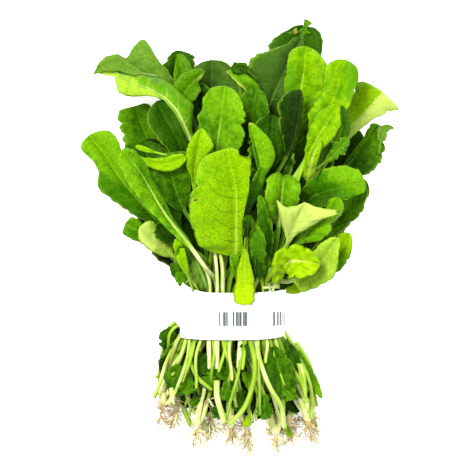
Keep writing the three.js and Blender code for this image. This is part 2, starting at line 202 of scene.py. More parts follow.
class Loft:
    """The rings of a leaf or a crown, from its base: centres, edges, and the rib's top and bottom."""

    POLE_EDGES = 8

    def __init__(self, node):
        points, near = merged(node)
        pole = next(p for p in range(len(points)) if len(near[p]) == self.POLE_EDGES)
        rings = [points[in_order(near, level)] for level in levels(near, [pole])[1:-1]]
        widest = int(np.argmax([self.across(ring).max() for ring in rings]))
        if widest < len(rings) / 2:
            rings.reverse()
            widest = len(rings) - 1 - widest
        middles = np.array([ring.mean(axis=0) for ring in rings])
        rings[widest] = self.from_left_edge(rings[widest], middles, widest)
        for step in (1, -1):
            i = widest
            while 0 <= i + step < len(rings):
                rings[i + step] = self.turned_like(rings[i + step], rings[i])
                i += step
        rings = np.array(rings)
        self.left, self.right = rings[:, 0], rings[:, 4]
        self.top, self.bottom = rings[:, 2], rings[:, 6]
        self.centre = (self.top + self.bottom) / 2
        self.along = distances(self.centre)

    @staticmethod
    def across(ring):
        """The distances between the opposite points of a ring."""
        return np.linalg.norm(ring[:4] - ring[4:], axis=1)

    @staticmethod
    def from_left_edge(ring, middles, i):
        """The ring from its left edge, then over its top."""
        k = int(np.argmax(Loft.across(ring)))
        ahead = middles[min(i + 1, len(middles) - 1)] - middles[max(i - 1, 0)]
        right = np.cross(ahead, (0.0, 0.0, 1.0))
        if np.dot(ring[k] - ring[k + 4], right) > 0:
            k += 4
        ring = np.roll(ring, -k, axis=0)
        if ring[2, 2] < ring[6, 2]:
            ring = np.roll(ring[::-1], 1, axis=0)
        return ring

    @staticmethod
    def turned_like(ring, other):
        """The ring, started and turned so that its points match those of its neighbour."""

        def shape(r):
            offsets = r - r.mean(axis=0)
            return offsets / np.linalg.norm(offsets, axis=1).mean()

        choices = [np.roll(r, k, axis=0) for r in (ring, ring[::-1]) for k in range(8)]
        return min(choices, key=lambda r: np.square(shape(r) - shape(other)).sum())


BLADE_STATIONS = (0.0, 0.12, 0.28, 0.45, 0.62, 0.78, 0.91, 0.98)  # as in the solids, in shares of the blade
BLADE_RINGS = len(BLADE_STATIONS)


class DrawnLeaf:
    """A small leaf that isn't in the CAD model: rings like a Loft's, from a midrib and a greatest width."""

    RIB = 0.8 * MM
    STALK_RINGS = 3
    STEP = 0.5 * MM
    WIDEST = 0.6  # where the blade is widest, as a share of its length

    def __init__(self, midrib, width, blade, base):
        """base is how wide the blade is where it starts, as a share of the greatest width."""
        line = resampled(midrib, self.STEP)
        along = distances(line)
        foot = max(along[-1] - blade, 0.2 * along[-1])
        stalk = np.linspace(0.0, foot, self.STALK_RINGS + 1)[:-1]
        shares = np.array(BLADE_STATIONS)
        stations = np.concatenate([stalk, foot + shares * (along[-1] - foot)])
        self.centre = np.stack([np.interp(stations, along, line[:, k]) for k in range(3)], axis=1)
        ahead = unit(np.gradient(self.centre, axis=0))
        right = unit(np.cross(ahead, (0.0, 0.0, 1.0)))
        up = np.cross(right, ahead)
        growing = base + (1.0 - base) * smooth(shares / self.WIDEST)
        ending = np.sqrt(1.0 - np.clip((shares - self.WIDEST) / (1.0 - self.WIDEST), 0.0, 1.0) ** 2.2)
        blade_half = np.maximum(width / 2 * growing * ending, self.RIB)
        half = np.concatenate([np.full(self.STALK_RINGS, self.RIB), blade_half])[:, None]
        self.left, self.right = self.centre - right * half, self.centre + right * half
        self.top, self.bottom = self.centre + up * self.RIB, self.centre - up * self.RIB
        self.along = distances(self.centre)


class Solids:
    """The CAD solids together, to find how much room there is above and below a point."""

    def __init__(self):
        self.points, self.triangles, self.owner = [], [], []
        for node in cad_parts:
            points, triangles = cad_mesh(node)
            self.triangles += (triangles + len(self.points)).tolist()
            self.points += points.tolist()
            self.owner += [node] * len(triangles)

    def without(self, node):
        """A tree of every triangle but the node's own."""
        kept = [t for t, owner in zip(self.triangles, self.owner) if owner != node]
        return BVHTree.FromPolygons(self.points, kept)


def room(tree, points, direction, most):
    """How far each point of a grid can move in a direction before it meets a solid, up to most."""
    ahead = Vector(direction)
    found = np.full(points.shape[:2], most)
    for i, row in enumerate(points):
        for j, point in enumerate(row):
            distance = tree.ray_cast(Vector(point), ahead, most)[3]
            if distance is not None:
                found[i, j] = distance
    return found


# ---------------------------------------------------------------- meshes


def add_piece(name, points, faces, material, uv=None):
    """A mesh piece that rides on the bunch. uv is one pair for each point."""
    mesh = bpy.data.meshes.new(name)
    mesh.from_pydata(np.asarray(points).tolist(), [], faces)
    if uv is not None:
        layer = mesh.uv_layers.new(name="Blade")
        corners = np.empty(len(mesh.loops), dtype=np.int32)
        mesh.loops.foreach_get("vertex_index", corners)
        layer.data.foreach_set("uv", np.asarray(uv)[corners].reshape(-1))
    mesh.polygons.foreach_set("use_smooth", [True] * len(mesh.polygons))
    mesh.update()
    piece = bpy.data.objects.new(name, mesh)
    bpy.context.scene.collection.objects.link(piece)
    piece.data.materials.append(material)
    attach(piece, "root")
    heap.add(points)
    return piece


def tube_faces(rings, sides, first=0):
    """Faces between rings of points, with a cap at each end."""
    i, j = np.meshgrid(np.arange(rings - 1), np.arange(sides), indexing="ij")
    a = first + i * sides + j
    b = first + i * sides + (j + 1) % sides
    faces = np.stack([a, b, b + sides, a + sides], axis=-1).reshape(-1, 4).tolist()
    faces.append([first + k for k in range(sides)][::-1])
    faces.append([first + (rings - 1) * sides + k for k in range(sides)])
    return faces


def tube_points(line, radii, sides, flutes=0.0):
    """Rings of points round a line. flutes makes shallow ridges that run along it."""
    ahead = unit(np.gradient(line, axis=0))
    side = unit(np.cross(ahead, (0.0, 0.0, 1.0)) + 1e-9)
    up = np.cross(side, ahead)
    angle = np.linspace(0, 2 * math.pi, sides, endpoint=False)[::-1]
    radius = np.asarray(radii)[:, None] * (1.0 + flutes * np.cos(angle * 3 + 0.6))[None, :]
    across = radius[:, :, None] * np.cos(angle)[None, :, None] * side[:, None, :]
    above = radius[:, :, None] * np.sin(angle)[None, :, None] * up[:, None, :]
    return line[:, None, :] + across + above


def set_attribute(piece, name, values):
    """A number for each point, for the materials to read."""
    layer = piece.data.attributes.new(name, "FLOAT", "POINT")
    layer.data.foreach_set("value", np.asarray(values, dtype=np.float32).reshape(-1))


class Heap:
    """How high the pieces made so far reach, on a square grid."""

    CELL = 1.5 * MM
    HALF = 0.2

    def __init__(self):
        count = int(2 * self.HALF / self.CELL)
        self.top = np.zeros((count, count))

    def cells(self, points):
        index = ((np.asarray(points)[..., :2] + self.HALF) / self.CELL).astype(int)
        return np.clip(index, 1, len(self.top) - 2)

    def add(self, points):
        cells = self.cells(points)
        np.maximum.at(self.top, (cells[..., 0], cells[..., 1]), np.asarray(points)[..., 2])

    def under(self, line, half_width):
        """The height of what lies below each point of a line that is this wide."""
        ahead = unit(np.gradient(line[:, :2], axis=0))
        side = np.stack([ahead[:, 1], -ahead[:, 0]], axis=1)
        found = np.zeros(len(line))
        for share in (-1.0, -0.5, 0.0, 0.5, 1.0):
            cells = self.cells(line[:, :2] + side * half_width * share)
            found = np.maximum(found, self.top[cells[:, 0], cells[:, 1]])
        return found


heap = Heap()


BAND_EDGES = (-17.5, 17.5)  # where the band ends on its front, in millimetres from its middle
BAND_HALF_WIDTH = 38.0  # in millimetres, as is how far below the band's front a piece stays
BAND_CLEARANCE = 3.0
ROOF_SLOPE = 0.6
LINE_STEP = 1.5 * MM
SAG = 12.0  # a laid line may drop by this times the square of the distance from a high spot
EASING = 6 * MM


def roof(points):
    """How high a piece may be over each point: below the band's front, and more with distance from it."""
    x, y = ((points[..., :2] - BAND_MIDDLE) / MM).transpose()
    low, high = BAND_BOX[0, 2] / MM, BAND_BOX[1, 2] / MM
    arch = np.maximum(1.0 - np.abs(x / BAND_HALF_WIDTH) ** 2.5, 0.0) ** 0.4
    away = np.maximum(np.maximum(BAND_EDGES[0] - y, y - BAND_EDGES[1]), 0.0)
    return ((low + high) / 2 + (high - low) / 2 * arch - BAND_CLEARANCE + away * ROOF_SLOPE) * MM


def settled(plan, half_width, lift):
    """A line given in plan, laid over the heap without following its small dips, and under the band."""
    line = resampled(np.column_stack([plan, np.zeros(len(plan))]), LINE_STEP)
    wanted = heap.under(line, half_width) + lift
    along = distances(line)
    gap = np.abs(along[:, None] - along[None, :])
    stiff = (wanted[None, :] - gap**2 * SAG).max(axis=1)
    weight = np.exp(-((gap / EASING) ** 2))
    line[:, 2] = np.maximum((weight * stiff[None, :]).sum(axis=1) / weight.sum(axis=1), lift)
    line[:, 2] = np.minimum(line[:, 2], roof(line) - lift)
    return line


def from_band(plan):
    """Millimetres from the middle of the band's front, as metres."""
    plan = np.asarray(plan, float) * MM
    plan[:, :2] += BAND_MIDDLE
    return plan


# ---------------------------------------------------------------- node materials


class Nodes:
    """A new material's node tree, with short ways to add and join nodes."""

    def __init__(self, name):
        self.material = bpy.data.materials.new(name)
        self.material.use_nodes = True
        self.tree = self.material.node_tree
        self.tree.nodes.clear()

    def plug(self, node, inputs):
        """Sets inputs by name or number, each to a constant or another node's output."""
        for key, value in inputs.items():
            if isinstance(value, bpy.types.NodeSocket):
                self.tree.links.new(value, node.inputs[key])
            else:
                node.inputs[key].default_value = value

    def add(self, kind, inputs=None, **settings):
        node = self.tree.nodes.new(kind)
        for key, value in settings.items():
            setattr(node, key, value)
        self.plug(node, inputs or {})
        return node

    def attribute(self, name):
        return self.add("ShaderNodeAttribute", attribute_name=name).outputs["Fac"]

    def math(self, operation, *values):
        return self.add("ShaderNodeMath", dict(enumerate(values)), operation=operation).outputs[0]

    def times(self, first, second):
        return self.math("MULTIPLY", first, second)

    def ramp(self, value, low, high, start=0.0, end=1.0):
        """Goes smoothly from start to end while value goes from low to high."""
        names = {"Value": value, "From Min": low, "From Max": high, "To Min": start, "To Max": end}
        return self.add("ShaderNodeMapRange", names, interpolation_type="SMOOTHSTEP").outputs["Result"]

    def mix(self, share, first, second):
        """A mix of two colours."""
        node = self.add("ShaderNodeMix", data_type="RGBA")
        self.plug(node, {0: share, 6: first, 7: second})
        return node.outputs[2]

    def scaled(self, where, scale):
        return self.add("ShaderNodeMapping", {"Vector": where, "Scale": scale}).outputs["Vector"]

    def noise(self, where, scale, detail=3.0, roughness=0.55):
        names = {"Vector": where, "Scale": scale, "Detail": detail, "Roughness": roughness}
        return self.add("ShaderNodeTexNoise", names).outputs["Fac"]

    def bump(self, height, strength, distance):
        names = {"Height": height, "Strength": strength, "Distance": distance}
        return self.add("ShaderNodeBump", names).outputs["Normal"]

    def finish(self, shader):
        self.add("ShaderNodeOutputMaterial", {"Surface": shader})
        return self.material


BRIGHTNESS = 0.46  # the lamps burn out the floor, so this much of a colour brings it back on the screen


def rgb(red, green, blue, share=BRIGHTNESS):
    """A colour from the screen values, between 0 and 255, that it has where the light is full."""

    def linear(v):
        v /= 255.0
        return share * (v / 12.92 if v <= 0.04045 else ((v + 0.055) / 1.055) ** 2.4)

    return (linear(red), linear(green), linear(blue), 1.0)


# Each tone: the upper side of the blade, its darker colour, for its own darker patches and for painted shade,
# its side veins and its midrib
TONES = {
    "lime": (rgb(164, 218, 0), rgb(94, 162, 0), rgb(80, 140, 0), rgb(206, 234, 90)),
    "bright": (rgb(126, 194, 2), rgb(56, 126, 0), rgb(164, 214, 44), rgb(200, 232, 100)),
    "mid": (rgb(90, 154, 2), rgb(30, 84, 0), rgb(116, 174, 28), rgb(160, 208, 84)),
    "dark": (rgb(46, 101, 2), rgb(12, 49, 0), rgb(74, 130, 18), rgb(104, 160, 56)),
    "dull": (rgb(76, 120, 34), rgb(32, 74, 8), rgb(96, 142, 50), rgb(128, 172, 84)),
    "sage": (rgb(112, 160, 46), rgb(66, 112, 22), rgb(124, 172, 58), rgb(156, 198, 88)),
    # deep is near black: painted shade for the leaves that fill the gaps
    "deep": (rgb(20, 56, 0), rgb(6, 24, 0), rgb(24, 60, 2), rgb(30, 70, 6)),
    "yellow": (rgb(200, 240, 8), rgb(152, 204, 0), rgb(156, 198, 4), rgb(226, 244, 110)),
    "soft": (rgb(186, 228, 58), rgb(98, 168, 2), rgb(196, 232, 90), rgb(228, 244, 146)),
}
UNDERSIDE = rgb(226, 248, 122)
# the underside's darker colour, for its own tone and for painted shade
UNDERSIDE_SHADE = rgb(176, 222, 66)
UNDERSIDE_VEIN = rgb(190, 220, 86)
STEM_GREEN = rgb(98, 150, 20)
STEM_LIME = rgb(162, 198, 56)
STEM_PALE = rgb(238, 244, 176)
STEM_PURPLE = rgb(150, 118, 88)
WITHERED = rgb(206, 196, 84)
# the light margin: partly the edge's own paler colour, partly a painted edge highlight
RIM_AND_EDGE_HIGHLIGHT = rgb(160, 220, 40)
DEEP_SHADE = 0.33  # how much of its darker colour is left where a leaf's painted shade is deepest
SPECKLED = rgb(70, 66, 10)
GREEN_GLOSS = (0.8, 1.0, 0.22, 1.0)  # a leaf's waxy skin tints what it reflects
VEIN_SPACING = 11.0


def stem_colour(n, blade, tint):
    """Streaked stems, from green through lime to nearly white."""
    streak = n.noise(n.scaled(blade, (1.5, 0.03, 1.0)), 1.0, 2.0)
    patch = n.noise(n.scaled(blade, (0.1, 0.035, 1.0)), 1.0, 2.0)
    paleness = n.math("ADD", n.times(tint, 0.55), n.ramp(patch, 0.3, 0.7, -0.25, 0.3))
    paleness = n.math("ADD", paleness, n.ramp(streak, 0.3, 0.7, -0.18, 0.18))
    colour = n.mix(n.ramp(paleness, -0.7, 0.0), STEM_GREEN, STEM_LIME)
    return n.mix(n.ramp(paleness, 0.0, 0.8), colour, STEM_PALE), streak


def leaf_material(name, tone):
    """A leaf: satin, with soft veins, painted shade, a paler underside, a light margin that is partly a
    painted edge highlight, and a streaked stalk.
    """
    top, shade, side_vein, rib = TONES[tone]
    deepest = (*(DEEP_SHADE * part for part in shade[:3]), 1.0)
    n = Nodes(name)
    where = n.add("ShaderNodeTexCoord").outputs["Object"]
    blade = n.add("ShaderNodeUVMap", uv_map="Blade").outputs["UV"]
    parts = n.add("ShaderNodeSeparateXYZ", {0: blade})
    across = n.math("ABSOLUTE", parts.outputs["X"])
    along = parts.outputs["Y"]
    under = n.attribute("under")
    margin = n.attribute("margin")
    stalk = n.attribute("stalk")
    tint = n.attribute("tint")
    phase = n.attribute("vein_phase")
    strength = n.attribute("vein_strength")
    share = n.attribute("shade")
    damage = n.attribute("damage")

    fine = n.noise(where, 640.0, 4.0)
    mottle = n.noise(where, 190.0, 3.0, 0.6)
    # cloud: the shade attribute, mostly painted shade, with noise and mottle that vary the tone at random
    cloud = n.math("ADD", share, n.ramp(n.noise(where, 80.0), 0.3, 0.7, -0.2, 0.2))
    cloud = n.math("ADD", cloud, n.ramp(mottle, 0.32, 0.68, -0.2, 0.2))
    colour = n.mix(n.ramp(cloud, 0.0, 1.0), top, shade)
    # Past 1, the painted shade goes on to its deepest colour.
    colour = n.mix(n.ramp(cloud, 1.0, 1.9), colour, deepest)
    colour = n.mix(n.ramp(fine, 0.42, 0.68, 0.0, 0.55), colour, shade)
    # The underside darkens with the same painted shade.
    below = n.mix(n.ramp(cloud, 0.1, 1.0), UNDERSIDE, UNDERSIDE_SHADE)
    colour = n.mix(n.times(under, 0.88), colour, below)

    uneven = n.noise(blade, 0.07, 2.0)
    phase = n.math("ADD", phase, n.ramp(uneven, 0.3, 0.7, -0.2, 0.2))
    off_vein = n.math("ABSOLUTE", n.math("SUBTRACT", phase, n.math("ROUND", phase)))
    side_width = n.ramp(margin, 0.0, 0.9, 0.6, 0.3)
    lateral = n.ramp(n.math("DIVIDE", n.times(off_vein, VEIN_SPACING), side_width), 0.25, 1.2, 1.0, 0.0)
    lateral = n.times(lateral, n.ramp(margin, 0.55, 0.9, 1.0, 0.0))
    lateral = n.times(lateral, n.ramp(mottle, 0.35, 0.6, 0.35, 1.0))
    rib_width = n.times(n.ramp(along, -10.0, 70.0, 0.9, 0.3), n.ramp(strength, 0.0, 2.0, 0.45, 1.7))
    midrib = n.ramp(n.math("DIVIDE", across, rib_width), 0.4, 1.3, 1.0, 0.0)
    names = {"Vector": blade, "Scale": 0.42, "Randomness": 1.0}
    cells = n.add("ShaderNodeTexVoronoi", names, feature="DISTANCE_TO_EDGE").outputs["Distance"]
    net = n.ramp(cells, 0.015, 0.11, 1.0, 0.0)
    vein_colour = n.mix(under, side_vein, UNDERSIDE_VEIN)
    rib_colour = n.mix(under, rib, UNDERSIDE_VEIN)
    colour = n.mix(n.times(net, n.ramp(cloud, 0.1, 1.1, 0.32, 0.1)), colour, vein_colour)
    colour = n.mix(n.times(n.times(lateral, strength), 0.75), colour, vein_colour)
    colour = n.mix(n.times(midrib, n.ramp(strength, 0.0, 1.5, 0.0, 0.95)), colour, rib_colour)
    # A light margin: partly the edge's own paler colour, partly a painted edge highlight.
    colour = n.mix(n.times(n.ramp(margin, 0.84, 1.0), n.attribute("rim")), colour, RIM_AND_EDGE_HIGHLIGHT)

    stalk_colour, streak = stem_colour(n, blade, tint)
    # Above the band the stalk takes the blade's darker colours, partly its own green and partly painted shade
    # among the leaves.
    leafy_colour = n.mix(n.ramp(streak, 0.3, 0.7, 0.0, 0.6), shade, top)
    stalk_colour = n.mix(n.attribute("leafy"), stalk_colour, leafy_colour)
    colour = n.mix(stalk, colour, stalk_colour)
    colour = n.mix(n.ramp(damage, 0.15, 0.75), colour, WITHERED)
    colour = n.mix(n.ramp(damage, 0.9, 1.5), colour, SPECKLED)

    relief = n.math("ADD", n.times(n.times(lateral, strength), -0.8), n.times(net, -0.15))
    relief = n.math("ADD", relief, n.math("ADD", n.times(fine, 0.4), n.times(mottle, 1.1)))
    relief = n.math("ADD", relief, n.times(stalk, n.times(streak, 1.2)))
    bump = n.bump(relief, 0.65, 0.0008)
    rough = n.math("ADD", n.ramp(fine, 0.3, 0.7, 0.38, 0.52), n.times(under, 0.16))
    names = {"Base Color": colour, "Roughness": rough, "Normal": bump}
    names.update({"Specular IOR Level": 0.11, "Specular Tint": GREEN_GLOSS})
    body = n.add("ShaderNodeBsdfPrincipled", names).outputs["BSDF"]
    glow = n.mix(0.5, colour, top)
    through = n.add("ShaderNodeBsdfTranslucent", {"Color": glow, "Normal": bump}).outputs["BSDF"]
    see = n.ramp(stalk, 0.0, 1.0, 0.28, 0.06)
    return n.finish(n.add("ShaderNodeMixShader", {0: see, 1: body, 2: through}).outputs["Shader"])


def stem_material(name):
    """A loose stem: streaked, pale where it is cut or blanched, purple where tint says so."""
    n = Nodes(name)
    blade = n.add("ShaderNodeUVMap", uv_map="Blade").outputs["UV"]
    where = n.add("ShaderNodeTexCoord").outputs["Object"]
    colour, streak = stem_colour(n, blade, n.attribute("tint"))
    colour = n.mix(n.times(n.attribute("purple"), n.ramp(streak, 0.3, 0.6, 0.35, 0.9)), colour, STEM_PURPLE)
    fine = n.noise(where, 900.0, 3.0)
    colour = n.mix(n.ramp(fine, 0.55, 0.8, 0.0, 0.3), colour, STEM_GREEN)
    bump = n.bump(n.math("ADD", streak, n.times(fine, 0.3)), 0.5, 0.0005)
    names = {"Base Color": colour, "Roughness": n.ramp(streak, 0.3, 0.7, 0.34, 0.5), "Normal": bump}
    names.update({"Specular IOR Level": 0.28, "Specular Tint": GREEN_GLOSS})
    return n.finish(n.add("ShaderNodeBsdfPrincipled", names).outputs["BSDF"])


def root_material(name):
    """Cream and brown roots, ringed and dirty, that go over into pale green sheaths."""
    n = Nodes(name)
    where = n.add("ShaderNodeTexCoord").outputs["Object"]
    ring = n.noise(n.scaled(where, (0.35, 1.0, 0.35)), 900.0, 3.0)
    patch = n.noise(where, 150.0, 4.0)
    fine = n.noise(where, 1500.0, 3.0)
    colour = n.mix(n.ramp(patch, 0.40, 0.62), rgb(255, 250, 204), rgb(248, 226, 140))
    colour = n.mix(n.ramp(ring, 0.52, 0.74, 0.0, 0.35), colour, rgb(206, 150, 66))
    colour = n.mix(n.ramp(fine, 0.5, 0.75, 0.0, 0.15), colour, rgb(178, 122, 54))
    colour = n.mix(n.attribute("dirt"), colour, rgb(150, 92, 44))
    sheath = n.mix(n.ramp(patch, 0.35, 0.65), rgb(206, 226, 96), rgb(240, 244, 176))
    colour = n.mix(n.attribute("leafy"), colour, sheath)
    bump = n.bump(n.math("ADD", ring, n.times(fine, 0.5)), 0.6, 0.0008)
    names = {"Base Color": colour, "Roughness": n.ramp(patch, 0.3, 0.7, 0.6, 0.8), "Normal": bump}
    names.update({"Specular IOR Level": 0.25})
    return n.finish(n.add("ShaderNodeBsdfPrincipled", names).outputs["BSDF"])


BAR_BLOCKS = ((-10.0, 11.5), (29.5, 51.0))  # where the two blocks of plain bars are, along the strip
BAR_ROWS = (-8.0, 2.0)
BAR_PITCH = 0.64
BAR_BLUR = 0.15
GREY_FROM, BLACK_FROM = 0.26, 0.66  # each bar has a chance from 0 to 1, and is grey or black above these
PAPER_SHARE = 0.78
INK_SHARE = 0.3


def paper_material(name):
    """White paper with faint fibres and two blocks of plain grey bars on its outside."""
    n = Nodes(name)
    where = n.add("ShaderNodeTexCoord").outputs["Object"]
    blade = n.add("ShaderNodeUVMap", uv_map="Blade").outputs["UV"]
    parts = n.add("ShaderNodeSeparateXYZ", {0: blade})
    along, across = parts.outputs["X"], parts.outputs["Y"]
    fibre = n.noise(n.scaled(where, (0.5, 1.0, 1.0)), 1400.0, 4.0, 0.7)
    cloud = n.noise(where, 60.0)
    colour = n.mix(n.ramp(cloud, 0.3, 0.7), rgb(252, 252, 250, PAPER_SHARE), rgb(246, 247, 246, PAPER_SHARE))
    colour = n.mix(n.ramp(fibre, 0.55, 0.8, 0.0, 0.3), colour, rgb(226, 228, 228, PAPER_SHARE))
    column = n.math("FLOOR", n.math("DIVIDE", along, BAR_PITCH))
    chance = n.add("ShaderNodeTexWhiteNoise", {"W": column}, noise_dimensions="1D").outputs["Value"]
    low, high = BAR_ROWS
    rows = n.times(n.ramp(across, low - BAR_BLUR, low + BAR_BLUR), n.attribute("outside"))
    rows = n.times(rows, n.ramp(across, high - BAR_BLUR, high + BAR_BLUR, 1.0, 0.0))
    for start, end in BAR_BLOCKS:
        block = n.times(n.math("GREATER_THAN", along, start), n.math("LESS_THAN", along, end))
        grey = n.times(n.times(block, rows), n.math("GREATER_THAN", chance, GREY_FROM))
        colour = n.mix(n.times(grey, 0.95), colour, rgb(136, 148, 150, INK_SHARE))
        black = n.times(n.times(block, rows), n.math("GREATER_THAN", chance, BLACK_FROM))
        colour = n.mix(black, colour, rgb(40, 50, 52, INK_SHARE))
    bump = n.bump(n.math("ADD", fibre, n.times(cloud, 0.6)), 0.25, 0.0004)
    names = {"Base Color": colour, "Roughness": n.ramp(fibre, 0.3, 0.7, 0.66, 0.8), "Normal": bump}
    names.update({"Specular IOR Level": 0.2})
    body = n.add("ShaderNodeBsdfPrincipled", names).outputs["BSDF"]
    through = n.add("ShaderNodeBsdfTranslucent", {"Color": rgb(248, 250, 240, PAPER_SHARE)}).outputs["BSDF"]
    return n.finish(n.add("ShaderNodeMixShader", {0: 0.12, 1: body, 2: through}).outputs["Shader"])


# ---------------------------------------------------------------- leaves

LAST_STATION = BLADE_STATIONS[-1]
SHEET = 0.36 * MM
BLADE_SPACING = 1.2 * MM
BLADE_START = 0.04  # the closer rows start this share of the blade's length before its foot
BLADE_ROWS, STALK_ROWS, BLADE_COLUMNS = (18, 92), (3, 50), (5, 14)  # the least and the most
THINNEST_RIB = 0.2 * MM
RIB_DEPTH = 0.95  # how far the rib stands out below the blade, and how wide it is, in radii
STALK_IN_CROWN = 4 * MM
STALK_STEP = 4.5 * MM
MOST_ROOM = 14 * MM
LEFT, RIGHT = -1, 1


def look(tone, **changes):
    """How a leaf differs from a plain one.

    left and right are half widths in millimetres, at shares of the blade's length. A fold is (side, start,
    degrees, from, to): from start outwards, as a share of the half width, that side turns up by so many
    degrees, between two places along the blade. tip_roll is (place, degrees) for a tip that rolls up. A
    damage spot is (across, along, radius in millimetres, strength). under shows the underside all over, and
    turned is one side that shows it. teeth, wavy, ruffle, swell, pucker and arch are how strong those are,
    vein how clear the veins are, shade how dark the blade is, partly its own tone and partly painted shade,
    and tint how pale its stalk is, or None for by chance. vee is how steeply the left and the right half
    rise from the midrib, in degrees. petiole is how pale the stalk is above the band, where it otherwise
    takes the blade's darker colours, partly painted shade. gloom is how much painted shade darkens the
    blade towards its foot, where it goes under other leaves, and sides how much painted shade darkens the
    left and the right half towards their edges, by how they face the light. crease is how deeply the blade
    is crumpled, with painted shade in its creases, rim how light its margin is, partly a painted edge
    highlight, and swept how far the left and the right half lean forwards, as a share of their width.
    """
    plain = {
        "tone": tone,
        "under": False,
        "turned": None,
        "left": (),
        "right": (),
        "teeth": 0.0,
        "wavy": 1.0,
        "ruffle": 1.0,
        "swell": 1.0,
        "pucker": 1.0,
        "arch": 1.0,
        "vee": None,
        "folds": (),
        "tip_roll": None,
        "vein": 0.6,
        "shade": 0.35,
        "gloom": 0.5,
        "sides": (0.15, 0.0),
        "crease": 0.25,
        "rim": 0.42,
        "swept": (0.0, 0.0),
        "tint": None,
        "petiole": 0.15,
        "damage": (),
    }
    return {**plain, **changes}


